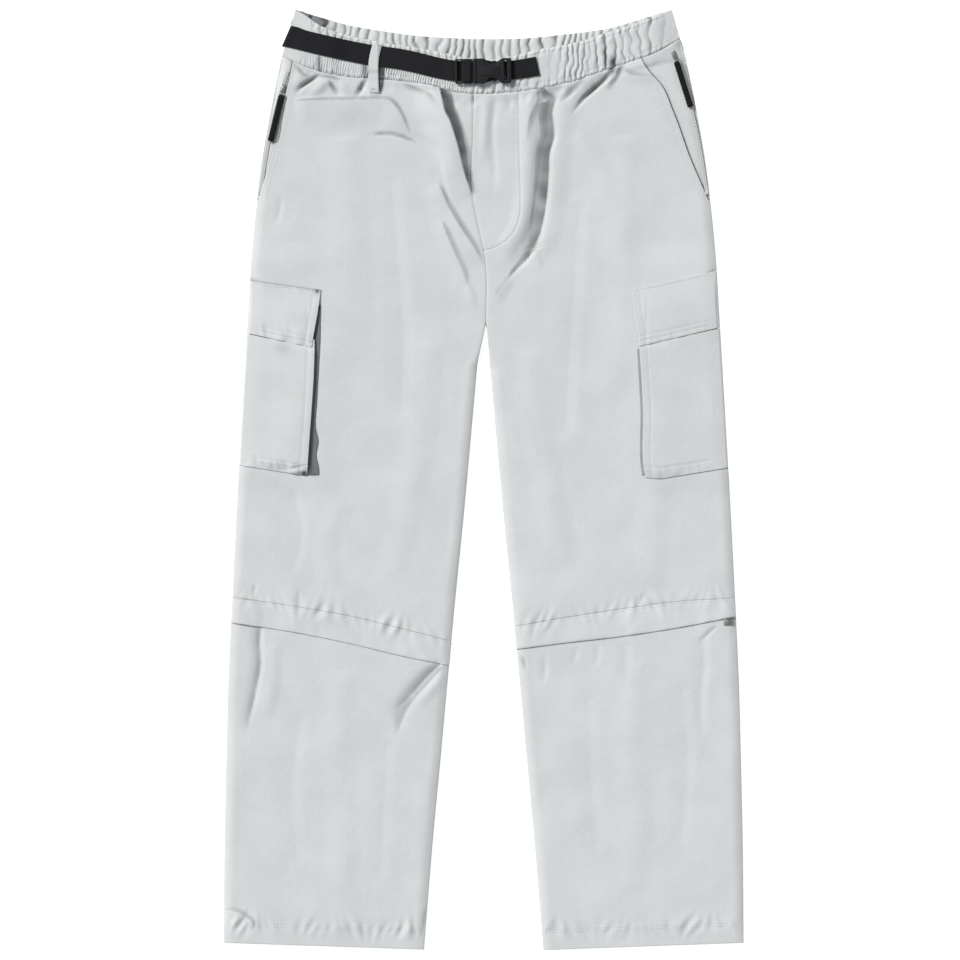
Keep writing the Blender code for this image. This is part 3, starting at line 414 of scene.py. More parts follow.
# Painted shade, as dark spots kept in the cloth's colour: strength, middle, reach both ways, power of the
# edge
paintedShadeSpots = {
    "kneeSlider": (0.9, (268, -150.5), (8, 1.7), 2), "hipBunch": (1.0, (138, 443), (4.5, 7), 2),
    "bandBunch": (0.85, (139, 450), (4.5, 7), 2), "loopEnd": (0.5, (-119, 421), (2, 0.7), 2),
    "bagCorner": (1.2, (-193.5, 6), (3.2, 3.4), 4), "bagTop": (0.2, (-216, 142), (9, 7), 2),
    "flapKnot": (0.9, (-179.5, 203), (2.6, 2.6), 2),
}


def spot(name, x, y):
    strength, middle, reach, power = paintedShadeSpots[name]
    return strength * bell(x - middle[0], reach[0], power) * bell(y - middle[1], reach[1], power)


def foldShade(x, y):  # painted shade of the folds and creases, from 0 to 1
    x, y = np.asarray(x, dtype=float), np.asarray(y, dtype=float)
    loopSideShade = bell(x + 110.2 + 0.2 * (430 - y), 2.7, 4) * ease((y - 416) / 5) * (y < 440)  # painted shadow beside the belt loop
    total = np.maximum(loopSideShade, np.maximum(spot("kneeSlider", x, y), spot("hipBunch", x, y)))
    for height, left, right, path in creasePaths:
        steep = min(left, right)
        if abs(height) < 1.35 or steep > 12:
            continue
        uneven = max(left, right) > 1.6 * steep
        if height > 0 and not uneven:
            continue
        reach = max(left, right) * 0.75 if height < 0 and uneven else steep
        hard = 0.3 if abs(height) > 5 else 0.5
        low, high = path.min(0) - reach, path.max(0) + reach
        near = (x > low[0]) & (x < high[0]) & (y > low[1]) & (y < high[1])
        if not near.any():
            continue
        far, signed, along = pathDistance(x[near], y[near], path)
        if uneven:  # painted shade from the crest outwards, on one side only, narrow at both ends
            side = (1 if left <= right else -1) * (1 if height > 0 else -1)
            wide = reach * (0.3 + 0.7 * ease(along / 0.25)) * (0.15 + 0.85 * ease((1 - along) / 0.4))
            dark = np.where(signed * side > 0, np.clip(1 - far / wide, 0, 1) ** hard, bell(far, 0.7))
        else:
            dark = np.where(signed > 0, bell(far, 0.9), bell(far, 0.6 * steep))
        strength = min(1, (abs(height) / 7) ** 0.6) * (0.92 if height < 0 and uneven else 1)
        total[near] = np.maximum(total[near], dark * strength * fadedEnds(along, path, 12, 22))
    return np.clip(total * (0.9 + 0.35 * waviness(x, y, 14, 2.2)), 0, 1) + 0.9 * loopSideShade


def waviness(x, y, scale, seed):  # low noise over the cloth, from -1 to 1
    heights = [noise.noise((a / scale, b / scale, seed)) for a, b in zip(x.flat, y.flat)]
    return np.array(heights).reshape(x.shape)


drape = [(1.5, 85, 3.1), (0.55, 33, 7.7)]  # broad soft waves of the cloth: height, length, seed
puckers = [  # line, depth, wave length, reach, seed
    (lambda x: np.where(x < 0, kneeSeam["right"](x), kneeSeam["left"](x)), 2.8, 7.5, 10, 4.1),
    (lambda x: hemLine(x) + 21, 3.2, 7.0, 9, 8.3),
    (lambda x: waistSeam(x) - 1, 2.8, 6.5, 9, 6.2),
]


def puckerHeight(x, y):  # small uneven ripples along a sewn line
    total = np.zeros_like(x)
    for line, depth, wave, reach, seed in puckers:
        far = y - line(x)
        near = np.abs(far) < 3 * reach
        if near.any():
            px, py = x[near], far[near]
            ripple = waviness(px + 0.5 * py * np.sin(px / 13), py * 0.3, wave, seed)
            strength = 0.5 + 0.9 * np.clip(waviness(px, 0 * py, 40, seed + 1) + 0.3, 0, 1)
            total[near] += depth * strength * ripple * bell(np.abs(py), reach, 1.5)
    return total


def backLayer(x, y):  # top of the back of the trousers
    band = ease((y - backSeam(x) + 14) / 8)
    thicker = layers["bandWall"] + layers["backGather"] - layers["backTop"]
    return lift(x, y) + layers["backTop"] + thicker * band


def clothTop(x, y):  # upper side of the front panels
    x, y = np.asarray(x, dtype=float), np.asarray(y, dtype=float)
    side = outerEdge(y, x) - np.abs(x)
    inner = np.where(y < layers["crotch"], np.abs(x) - inseam(y), 60.0)
    inner = np.where((y > 120) & (y < layers["crotch"]), inner + (y - 120) * 0.5, inner)
    room = np.clip(np.minimum(side, inner) / layers["edgeRound"], 0, 1)
    rounded = 1 - (1 - room) ** 2
    calm = ease(np.clip(np.minimum(side, inner), 0, 18) / 18)
    plain = layers["legTop"] + (layers["waistTop"] - layers["legTop"]) * ease((y - 340) / 70)
    hem = np.where(y < -470, 0.5 + 0.5 * ease((y + 508) / 38), 1.0)
    low = backLayer(x, y) - lift(x, y) + softLift(x, y) + 0.2 + layers["cloth"]
    rise = (plain - layers["edgeTop"]) * hem * rounded
    soft = sum(height * waviness(x, y, length, seed) for height, length, seed in drape)
    top = low + np.maximum(rise + (creaseHeight(x, y) + soft) * calm + puckerHeight(x, y) * calm, -0.1)
    sewnOn = ease(1 - (waistSeam(x) - y) / 12) * ease((sideEdge(y) - np.abs(x)) / 24)
    return top + np.maximum(layers["bandTop"] - 0.5 + lift(x, y) - top, -2.0) * sewnOn


def clustered(count, pull=0.3):  # shares from 0 to 1, closer together at both ends
    t = np.linspace(0, 1, count + 1)
    return t - pull * np.sin(2 * math.pi * t) / (2 * math.pi)


# Meshes

pieces = {}
fitRounds = 24  # how often a point is fitted between two pairs of lines


def newObject(name, bm, material, smooth=True):
    mesh = bpy.data.meshes.new(name)
    bm.to_mesh(mesh)
    bm.free()
    if smooth:
        mesh.shade_smooth()
    mesh.materials.append(material)
    obj = bpy.data.objects.new(name, mesh)
    bpy.context.scene.collection.objects.link(obj)
    pieces[name] = obj
    return obj


def mappedGrid(across, along, place):  # a grid moved onto the surface that place gives
    bm = bmesh.new()
    bmesh.ops.create_grid(bm, x_segments=len(across) - 1, y_segments=len(along) - 1, size=0.5)
    spots = np.array([vert.co[:2] for vert in bm.verts])
    i = np.rint((spots[:, 0] + 0.5) * (len(across) - 1)).astype(int)
    j = np.rint((spots[:, 1] + 0.5) * (len(along) - 1)).astype(int)
    x, y, z = place(np.asarray(across)[i], np.asarray(along)[j])
    for vert, co in zip(bm.verts, np.stack([x, y, z], axis=1) * mm):
        vert.co = co
    return bm


def faceUp(bm):  # turns a sheet over if its highest face looks down
    if max(bm.faces, key=lambda face: face.calc_center_median().z).normal.z < 0:
        bmesh.ops.reverse_faces(bm, faces=bm.faces[:])


def thicken(obj, thick, offset=-1.0):
    shell = obj.modifiers.new("cloth", "SOLIDIFY")
    shell.thickness = thick * mm
    shell.offset = offset
    shell.use_even_offset = False
    shading = obj.modifiers.new("shading", "WEIGHTED_NORMAL")  # keeps the cut edge from darkening the cloth
    shading.weight = 100
    return obj


def panelPlace(lines, top, seams):
    left, right, low, high = lines
    dips = {"left": 0, "right": 0, "low": 0, "high": 0, **seams}

    def place(u, v):
        x, y = np.zeros_like(u), np.zeros_like(u)
        for _ in range(fitRounds):
            y = low(x) + (high(x) - low(x)) * v
            x = left(y) + (right(y) - left(y)) * u
        z = top(x, y)
        gaps = {"left": x - left(y), "right": right(y) - x, "low": y - low(x), "high": high(x) - y}
        for side, depth in dips.items():  # cloth turned in at a seam dips beside it
            z = z - depth * bell(gaps[side], 1.6)
        return x, y, z

    return place


def shadeWith(obj, shade):  # paints shade into the cloth's colour: keeps a value from 0 to 1 at each point
    spots = np.array([vert.co[:2] for vert in obj.data.vertices]) / mm
    layer = obj.data.attributes.new("foldShade", "FLOAT", "POINT")
    layer.data.foreach_set("value", np.clip(shade(spots[:, 0], spots[:, 1]), 0, 1).astype(np.float32))


def panelSheet(name, size, lines, top, material, seams=None, thick=None, paintFoldShade=False):
    bm = mappedGrid(clustered(size[0]), clustered(size[1], 0.3), panelPlace(lines, top, seams or {}))
    obj = newObject(name, bm, material)
    if paintFoldShade:
        # painted shade in the folds, kept for the cloth's colour
        shadeWith(obj, foldShade)
    return thicken(obj, thick or layers["cloth"])


def surfaceOf(*objects):  # search tree of the upper sides
    verts, polygons = [], []
    for obj in objects:
        start = len(verts)
        verts += [vert.co.copy() for vert in obj.data.vertices]
        polygons += [[start + i for i in polygon.vertices] for polygon in obj.data.polygons]
    return BVHTree.FromPolygons(verts, polygons)


def heightOn(tree, x, y, reach=0.0):  # highest point of a surface near this place
    best = 0.0
    for dx, dy in ((0, 0),) if reach == 0 else ((0, 0), (reach, 0), (-reach, 0), (0, reach), (0, -reach)):
        hit = tree.ray_cast(Vector(((x + dx) * mm, (y + dy) * mm, 1.0)), Vector((0, 0, -1)))[0]
        if hit is not None:
            best = max(best, hit.z / mm)
    return best


def settle(obj, nodes, body="garment"):  # the piece takes its nodes' place and moves with them
    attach(obj, body)
    if nodes:
        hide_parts(*nodes)


# Materials

clothLook = {  # dyed, matt plain-weave nylon: even pale grey with faint creasing
    "thread": 1.3,  # the real thread is 0.25 mm, drawn coarser so that it shows
    "weaveDepth": 0.05, "crinkle": 9.0, "crinkleDepth": 0.32, "blotch": 42.0,
    # paintedShadeColour: the dark grey that painted shade in the folds goes towards
    "paintedShadeColour": "6a6b6e", "roughness": 0.82, "sheen": 0.12,
}
webbingLook = {"rib": 1.5, "cord": 1.9, "depth": 0.3}  # millimetres between ribs and between cords
coilLook = {"tooth": 1.6, "depth": 0.4, "tape": "cdcfcf"}


def bandScale(spacing):  # the scale of a wave texture whose bands lie so far apart
    return 2 * math.pi / 20 / spacing


def wovenCloth(name, light, shade, crinkle=1.0):
    look = clothLook
    material, tree, shader = startFinish(name, {
        "Roughness": look["roughness"], "Specular IOR Level": 0.3, "IOR": 1.53,
        "Sheen Weight": look["sheen"]})
    place = {"Vector": addNode(tree, "ShaderNodeTexCoord").outputs["Object"]}
    threads = [addNode(tree, "ShaderNodeTexWave", {
        "wave_type": "BANDS", "bands_direction": way, "Scale": bandScale(2 * look["thread"] * mm),
        "Distortion": 0.6, "Detail": 1.0}, place).outputs["Fac"] for way in "XY"]
    weave = addNode(tree, "ShaderNodeMath", {"operation": "MULTIPLY"},
                    dict(enumerate(threads))).outputs["Value"]
    blotch = addNode(tree, "ShaderNodeTexNoise", {
        "Scale": 1 / (look["blotch"] * mm), "Detail": 5.0, "Roughness": 0.6}, place)
    tone = addNode(tree, "ShaderNodeValToRGB", {"stops": [(0.32, shade), (0.66, light)]},
                   {"Fac": blotch.outputs["Fac"]})
    woven = addNode(tree, "ShaderNodeMix", {"data_type": "RGBA", "blend_type": "MULTIPLY", "Factor": 0.05},
                    {"A": tone.outputs["Color"], "B": weave})
    # painted shade: the foldShade attribute darkens the colour towards the painted shade colour
    depth = addNode(tree, "ShaderNodeAttribute", {"attribute_name": "foldShade"})
    deep = addNode(tree, "ShaderNodeMix", {
        "data_type": "RGBA", "blend_type": "MULTIPLY", "B": hexColour(look["paintedShadeColour"])},
        {"Factor": depth.outputs["Fac"], "A": woven.outputs["Result"]})
    creased = addNode(tree, "ShaderNodeTexNoise", {
        "Scale": 1 / (look["crinkle"] * mm), "Detail": 3.0, "Roughness": 0.5, "Distortion": 0.8}, place)
    soft = addNode(tree, "ShaderNodeBump", {"Strength": crinkle, "Distance": look["crinkleDepth"] * mm},
                   {"Height": creased.outputs["Fac"]})
    fine = addNode(tree, "ShaderNodeBump", {"Strength": 0.6, "Distance": look["weaveDepth"] * mm},
                   {"Height": weave, "Normal": soft.outputs["Normal"]})
    linkInto(tree, shader, {"Base Color": deep.outputs["Result"], "Normal": fine.outputs["Normal"]})
    return material


def wovenWebbing(name, light, dark):  # flat black webbing: fine ribs across, small glints
    material, tree, shader = startFinish(name, {"Roughness": 0.85, "Specular IOR Level": 0.2, "IOR": 1.53})
    place = {"Vector": addNode(tree, "ShaderNodeUVMap", {"uv_map": "UVMap"}).outputs["UV"]}
    ribs = addNode(tree, "ShaderNodeTexWave", {
        "wave_type": "BANDS", "bands_direction": "X", "Scale": bandScale(webbingLook["rib"]),
        "Distortion": 0.3, "Detail": 1.0}, place)
    cords = addNode(tree, "ShaderNodeTexWave", {
        "wave_type": "BANDS", "bands_direction": "Y", "Scale": bandScale(webbingLook["cord"]),
        "Distortion": 0.2}, place)
    mixed = addNode(tree, "ShaderNodeMath", {"operation": "MULTIPLY"},
                    {0: ribs.outputs["Fac"], 1: cords.outputs["Fac"]}).outputs["Value"]
    tone = addNode(tree, "ShaderNodeValToRGB", {"stops": [(0, dark), (1, light)]}, {"Fac": mixed})
    # painted shade: the foldShade attribute darkens the webbing towards near black
    depth = addNode(tree, "ShaderNodeAttribute", {"attribute_name": "foldShade"})
    deep = addNode(tree, "ShaderNodeMix", {"data_type": "RGBA", "B": hexColour("060607")},
                   {"Factor": depth.outputs["Fac"], "A": tone.outputs["Color"]})
    bump = addNode(tree, "ShaderNodeBump", {"Strength": 0.8, "Distance": webbingLook["depth"] * mm},
                   {"Height": mixed})
    linkInto(tree, shader, {"Base Color": deep.outputs["Result"], "Normal": bump.outputs["Normal"]})
    return material


def mouldedFinish(name, light, dark, roughness, grain, depth, metallic=0.0, ior=1.5):
    own = {"Metallic": metallic} if metallic else {"IOR": ior, "Specular IOR Level": 0.25}  # matt, few glints
    material, tree, shader = startFinish(name, own)
    place = addNode(tree, "ShaderNodeTexCoord").outputs["Object"]
    spots = addNode(tree, "ShaderNodeTexNoise", {"Scale": 1 / (grain * mm), "Detail": 4.0, "Roughness": 0.6},
                    {"Vector": place}).outputs["Fac"]
    tone = addNode(tree, "ShaderNodeValToRGB", {"stops": [(0.3, dark), (0.7, light)]}, {"Fac": spots})
    matt = addNode(tree, "ShaderNodeMapRange", {"To Min": roughness - 0.06, "To Max": roughness + 0.08},
                   {"Value": spots})
    bump = addNode(tree, "ShaderNodeBump", {"Strength": 0.5, "Distance": depth * mm}, {"Height": spots})
    linkInto(tree, shader, {"Base Color": tone.outputs["Color"], "Roughness": matt.outputs["Result"],
                            "Normal": bump.outputs["Normal"]})
    return material


def coilTape(name, light, dark):  # woven tape with a row of nylon teeth down its middle
    material, tree, shader = startFinish(name, {"Roughness": 0.55})
    place = {"Vector": addNode(tree, "ShaderNodeUVMap", {"uv_map": "UVMap"}).outputs["UV"]}
    teeth = addNode(tree, "ShaderNodeTexWave", {
        "wave_type": "BANDS", "bands_direction": "X", "Scale": bandScale(coilLook["tooth"]),
        "Distortion": 0.0}, place).outputs["Fac"]
    tone = addNode(tree, "ShaderNodeValToRGB", {"stops": [(0, dark), (1, light)]}, {"Fac": teeth})
    sideways = addNode(tree, "ShaderNodeSeparateXYZ", links=place)
    off = addNode(tree, "ShaderNodeMath", {"operation": "ABSOLUTE"}, {0: sideways.outputs["Y"]})
    tape = addNode(tree, "ShaderNodeMapRange", {"From Min": 0.5, "From Max": 1.0},
                   {"Value": off.outputs["Value"]})
    both = addNode(tree, "ShaderNodeMix", {"data_type": "RGBA", "B": hexColour(coilLook["tape"])},
                   {"Factor": tape.outputs["Result"], "A": tone.outputs["Color"]})
    bump = addNode(tree, "ShaderNodeBump", {"Strength": 0.8, "Distance": coilLook["depth"] * mm},
                   {"Height": teeth})
    linkInto(tree, shader, {"Base Color": both.outputs["Result"], "Normal": bump.outputs["Normal"]})
    return material


nylon = wovenCloth("dyedPlainWeaveNylon", "d4d7d7", "ced1d1")
nylonInside = wovenCloth("nylonWrongSide", "cccece", "c4c6c7")
# a darker copy of the nylon: painted shade for the strip beside the pocket bag
nylonShade = wovenCloth("nylonStripPaintedShade", "a6a8aa", "989a9c", 0.8)
nylonBand = wovenCloth("gatheredNylonBand", "d4d7d7", "cccfcf", 0.6)
thread = mouldedFinish("spunPolyesterThread", "d2d4d6", "c2c4c6", 0.7, 0.8, 0.05)
webbing = wovenWebbing("wovenPolyesterWebbing", "2b2c2f", "151618")
acetal = mouldedFinish("mouldedAcetal", "1d1e21", "151619", 0.6, 0.9, 0.03, ior=1.48)
# a darker copy of the acetal: painted shade for the buckle's arms
acetalPaintedShade = mouldedFinish("mouldedAcetalPaintedShade", "121315", "0c0c0e", 0.65, 0.9, 0.03, ior=1.48)
rubber = mouldedFinish("mouldedSoftRubber", "101113", "08090a", 0.8, 0.7, 0.05, ior=1.52)
braid = mouldedFinish("braidedPullCord", "8d8f91", "66686b", 0.8, 0.5, 0.1)
plated = mouldedFinish("platedZincSlider", "b9bab8", "8f918f", 0.34, 1.2, 0.03, metallic=1.0)
coil = coilTape("nylonCoilOnTape", "cbcdcd", "aeb0b1")
print("materials made")


# Legs

panelGrids = {"front": (140, 270), "lowerFront": (110, 180), "back": (26, 60), "lowerBack": (26, 40),
              "fly": (26, 170), "hip": (30, 90), "flap": (120, 22), "zip": (120, 8)}


def ordered(one, other, sign):
    return (other, one) if sign < 0 else (one, other)


def frontInner(sign):  # the centre seam or the fly, then the inseam
    def at(y):
        low = sign * inseam(y) + (0 if sign > 0 else 1) * 2 * inseam(layers["crotch"]) * ease((y - 120) / 52)
        if sign < 0:
            high = centreFront(y)
        else:
            high = np.maximum(centreFront(y), np.where(y > 246.5, flyStitch(y), -300))
        return np.where(y < layers["crotch"], low, high)
    return at


def frontOuter(side):
    sign = sides[side]
    return lambda y: np.where(y > 302, mouth[side](y), sign * outerEdge(y, sign))


def legOuter(sign):
    return lambda y: sign * outerEdge(y, sign)


def zipLow(side):
    return lambda x: 0.45 * kneeSeam[side](x) + 0.55 * flapHem[side](x)


cutLook = {
    "straight": 0.6,  # a sheet that fills less of its box than this lies aslant
    "trim": 1.04,  # cut so much wider than the cloth needs
    "least": 0.0102,  # the least width that a sheet may state
}


def cutOf(obj, spare=1.0):  # how large the cloth was cut, from the sheet as it lies
    spots = np.array([vert.co[:] for vert in obj.data.vertices])
    span = spots.max(0) - spots.min(0)
    area = sum(polygon.area for polygon in obj.data.polygons) * spare
    wide, long = float(span[0] * spare), float(span[1])
    trim = cutLook["trim"]
    if area < cutLook["straight"] * wide * long:  # a strip that lies aslant is cut straight
        wide, long = (wide, area / wide * trim) if wide > long else (area / long * trim, long)
    if area > wide * long:  # cloth that turns round an edge is wider than it looks from above
        wide = area / long * trim
    return (wide, long), float(min(area, wide * long))


def sewn(obj, nodes, cut=None, spare=1.0):
    settle(obj, nodes)
    flat, area = cut or cutOf(obj, spare)
    flat = tuple(max(size, cutLook["least"]) for size in flat)
    return obj


def backTop(x, y):
    return layers["backTop"] + lift(x, y)


def makeLegs():
    for side, sign in sides.items():
        seam = kneeSeam[side]
        outer = legOuter(sign)
        lines = (*ordered(frontInner(sign), frontOuter(side), sign), seam, lambda x: waistSeam(x) + 0.6)
        centreSide = "right" if sign < 0 else "left"
        front = panelSheet("frontCloth_" + side, panelGrids["front"], lines, clothTop, nylon,
                           {"low": 0.3, "high": 0.9, centreSide: 0.4}, paintFoldShade=True)
        sewn(front, ["front_" + side])
        seat = lambda y: sign * np.maximum(np.where(y < layers["crotch"], inseam(y), 0), 0.15)
        lines = (*ordered(seat, outer, sign), lambda x: seam(x) + 0.15, lambda x: backSeam(x) - 0.3)
        back = panelSheet("backCloth_" + side, panelGrids["back"], lines, backTop, nylonInside,
                          thick=layers["backTop"])
        sewn(back, ["back_" + side])
        lines = (*ordered(seat, outer, sign), hemLine, lambda x: seam(x) - 0.15)
        lowBack = panelSheet("lowerBackCloth_" + side, panelGrids["lowerBack"], lines, backTop, nylonInside,
                             thick=layers["backTop"])
        sewn(lowBack, ["lower_back_" + side])
        inner = lambda y: sign * inseam(y)
        pair = ordered(inner, outer, sign)
        low = panelSheet("lowerFrontCloth_" + side, panelGrids["lowerFront"],
                         (*pair, hemLine, lambda x: zipLow(side)(x) - 0.3), clothTop, nylon,
                         {"high": 0.4}, paintFoldShade=True)
        sewn(low, ["lower_front_" + side])
        tape = panelSheet("kneeZipTape_" + side, panelGrids["zip"],
                          (*pair, zipLow(side), lambda x: seam(x) - 0.15),
                          lambda x, y: clothTop(x, y) - 0.2, coil, thick=0.8)
        sewn(tape, ["knee_zip_" + side])


flapLook = {"gap": 0.3, "wall": 0.8, "slider": 1.9, "edgeLift": {"right": 0.1, "left": 0.7}, "dip": 0.3}


def flapTop(side):
    def at(x, y):
        over = flapLook["slider"] * ease((np.abs(x) - 236) / 12) * ease((275 - np.abs(x)) / 5)
        over = over if side == "right" else 0.0
        toHem = (y - flapHem[side](x)) / (kneeSeam[side](x) - flapHem[side](x))
        ripple = 1.1 * waviness(x + 0.4 * y, y * 0.3, 12, 12.5)
        return (clothTop(x, y) + flapLook["gap"] + flapLook["wall"] + over
                + (flapLook["edgeLift"][side] + ripple * 0.9) * ease(1 - toHem) * ease(toHem * 6 + 0.4)
                - flapLook["dip"] * bell(kneeSeam[side](x) - y - 2.6, 1.3))
    return at


def makeKneeFlaps():
    for side, sign in sides.items():
        pair = ordered(lambda y: sign * (inseam(y) - 0.2), legOuter(sign), sign)
        lines = (*pair, flapHem[side], lambda x: kneeSeam[side](x) - 0.15)
        flap = panelSheet("kneeFlapCloth_" + side, panelGrids["flap"], lines, flapTop(side), nylon,
                          {"high": 0.35})
        sewn(flap, ["knee_flap_" + side])


def hipTop(x, y):
    low = backLayer(x, y) + 0.2 + layers["cloth"]
    return np.maximum(clothTop(x, y) - 2.0 * ease((waistSeam(x) - y) / 14), low)


def makeFlyAndHips():
    lines = (lambda y: centreFront(y) - 0.5, lambda y: flyStitch(y) + 0.4, lambda x: 0 * x + 241,
             lambda x: waistSeam(x) + 0.6)
    flyTop = lambda x, y: clothTop(x, y) - 0.6 * ease((250 - y) / 3)
    fly = panelSheet("flyCloth", panelGrids["fly"], lines, flyTop, nylon,
                     {"left": 0.5, "right": 0.3, "high": 0.9}, paintFoldShade=True)
    sewn(fly, ["fly"])
    for side, sign in sides.items():
        mouthLine = lambda y: mouth[side](y) + sign * 0.2
        lines = (*ordered(mouthLine, legOuter(sign), sign), lambda x: 0 * x + 302.3,
                 lambda x: waistSeam(x) - 0.1)
        hip = panelSheet("hipPanelCloth_" + side, panelGrids["hip"], lines, hipTop, nylon, {"high": 0.3})
        # painted shadow on the hip panel along the pocket mouth
        shadeWith(hip, lambda x, y: 0.85 * bell(x - mouth[side](y), 1.7)
                  * (1 if sign > 0 else ease((y - 396) / 12)))
        sewn(hip, ["hip_panel_" + side])


# Waistband

bandLook = {
    "cells": {"right": (430, 26), "left": (380, 26), "back": (420, 18)},
    "right": {"count": 62, "depth": 2.4}, "left": {"count": 46, "depth": 2.8},
    "back": {"count": 44, "depth": 2.3}, "wall": 1.4, "sharp": 0.8, "ribs": 150,
    # where the rims and the stitching press it down: depth, share of its height, width
    "pressed": [(1.3, 0.0, 0.045), (1.1, 1.0, 0.05), (0.5, 0.13, 0.035), (0.5, 0.88, 0.035)],
}


def gatherTurn(x, count, uneven):  # how many folds lie before this place
    along = (x + 203) / 406
    return count * along + uneven * (np.sin(17 * along) + 0.6 * np.sin(41 * along + 1))


def gatherWave(x, count, uneven):  # narrow folds with rounded tops, from 0 to 1
    return np.abs(np.cos(math.pi * gatherTurn(x, count, uneven))) ** bandLook["sharp"]


def drift(x, y):  # gathers wander and lean a little
    return x + 3.2 * waviness(x, y * 1.6, 15, 11.3) + 0.10 * (y - waistSeam(x)) * np.sin(x / 19.0)


bandDepth = smoothLine([  # how deep the gathers are along the band
    (-203, 0.0), (-186, 0.1), (-172, 0.9), (-140, 1.0), (-110, 0.85), (-70, 1.0), (-30, 0.7), (-10, 0.5),
    (12, 0.9), (50, 0.9), (66, 0.35), (84, 0.5), (92, 1.25), (106, 1.15), (114, 0.5), (124, 1.3), (146, 1.25),
    (156, 0.6), (168, 0.7), (178, 1.1), (188, 0.5), (203, 0.2),
])


bandRibs = smoothLine([  # below the belt on the right the elastic lies in fine ribs: how deep they are
    (-203, 0.0), (-190, 0.5), (-160, 0.9), (-146, 0.8), (-136, 0.4), (-122, 1.0), (-60, 1.0), (-30, 0.8),
    (-14, 0.4),
])


def ribShare(x, y):
    share = (y - waistSeam(x)) / (bandFrontEdge(x) - waistSeam(x))
    return ease((0.5 - share) / 0.12) * (x < -14)


def bandTop(x, y):
    room = ease((sideEdge(y) - np.abs(x)) / 24)
    low = lift(x, y) + 2 * layers["bandWall"] + layers["backGather"] + 0.6
    right = x < -10
    lean = drift(x, y)
    wave = np.where(right, gatherWave(lean, bandLook["right"]["count"], 0.5),
                    gatherWave(lean, bandLook["left"]["count"], 0.5))
    depth = np.where(right, bandLook["right"]["depth"], bandLook["left"]["depth"])
    depth = depth * bandDepth(x) * (0.75 + 0.8 * waviness(x, y * 1.4, 13, 4.7))
    depth = depth * (1 - 0.8 * ribShare(x, y))
    share = np.clip((y - waistSeam(x)) / (bandFrontEdge(x) - waistSeam(x)), 0, 1)
    ends = ease(share / 0.16) * ease((1 - share) / 0.14)
    calm = 0.4 + 0.6 * np.abs(2 * share - 1) ** 0.7  # the belt presses the middle flat
    small = -sum(deep * bell(share - at, wide) for deep, at, wide in bandLook["pressed"])
    fine = 1.7 * waviness(x, y * 0.35, 3.2, 9.9) * (bell(share - 0.07, 0.09) + bell(share - 0.93, 0.07))
    small = small + fine * ease((sideEdge(y) - np.abs(x) - 12) / 12)
    small = small + 1.1 * bandRibs(x) * ribShare(x, y) * (gatherWave(lean, bandLook["ribs"], 0.3) - 0.5)
    top = layers["bandTop"] + lift(x, y)
    return low + (top - low + depth * (wave - 0.5) * calm * (0.35 + 0.65 * ends) + small) * room


def bandShade(x, y, count, uneven):  # dark on the side of each fold that looks away from the light
    place = (gatherTurn(drift(x, y), count, uneven) % 1.0) - 0.5
    dark = np.where(place < 0, np.clip(1 + place / 0.34, 0, 1), bell(place, 0.05))
    return dark * np.clip(0.75 + 1.3 * waviness(x, y * 0.7, 11, 5.5), 0, 1.3)


def backBandTop(x, y):
    share = np.clip((y - backSeam(x)) / (bandBackEdge(x) - backSeam(x)), 0, 1)
    wave = gatherWave(drift(x, y), bandLook["back"]["count"], 0.4)
    rim = -0.5 * bell(1 - share, 0.07)
    return layers["bandWall"] + lift(x, y) + bandLook["back"]["depth"] * wave + rim


def makeBand():
    for side, sign in sides.items():
        centre = lambda y: centreFront(y) + sign * 0.15
        outer = lambda y: sign * (sideEdge(y) - 0.3)
        cells, count = bandLook["cells"][side], bandLook[side]["count"]
        wavy = lambda x: (bandFrontEdge(x)
                          + 0.7 * (gatherWave(x, count, 0.5) - 0.6) * ease((x + 196) / 26))
        lines = (*ordered(centre, outer, sign), lambda x: waistSeam(x) + 0.15, wavy)
        bm = mappedGrid(np.linspace(0, 1, cells[0] + 1), clustered(cells[1], 0.3), panelPlace(
            lines, bandTop, {"left": 0.5 * (sign > 0), "right": 0.5 * (sign < 0)}))
        band = thicken(newObject("bandCloth_" + side, bm, nylonBand), bandLook["wall"])
        # painted shade: dark sides of the gathers and ribs, two creases, beside the belt loop and at the
        # bunch
        shadeWith(band, lambda x, y: 0.62 * bandDepth(x) * bandShade(x, y, count, 0.5) * (1 - ribShare(x, y))
                  + 0.4 * ribShare(x, y) * bandRibs(x) * bandShade(x, y, bandLook["ribs"], 0.3)
                  + 0.75 * (bell(x + 177.5, 2.2) + bell(x + 128, 3)) * (y < 456)  # painted shade of two deep creases
                  + 1.9 * bell(x + 109.8, 2.9, 4) * (y < 447)  # painted shadow beside the belt loop
                  + spot("bandBunch", x, y))
        sewn(band, ["waistband_front_" + side])
    outer = lambda y: sideEdge(y) - 0.3
    cells = bandLook["cells"]["back"]
    bm = mappedGrid(np.linspace(0, 1, cells[0] + 1), clustered(cells[1], 0.3), panelPlace(
        (lambda y: -outer(y), outer, lambda x: backSeam(x) + 0.15, bandBackEdge), backBandTop, {}))
    band = thicken(newObject("bandCloth_back", bm, nylonBand), layers["bandWall"] - 0.1)
    # painted shade on the dark sides of the back band's gathers
    shadeWith(band, lambda x, y: 0.8 * bandShade(x, y, bandLook["back"]["count"], 0.4)
              + 0.8 * ease((-158 - x) / 20))  # painted shade inside the right end of the opening
    sewn(band, ["waistband_back"])


# Thigh pockets

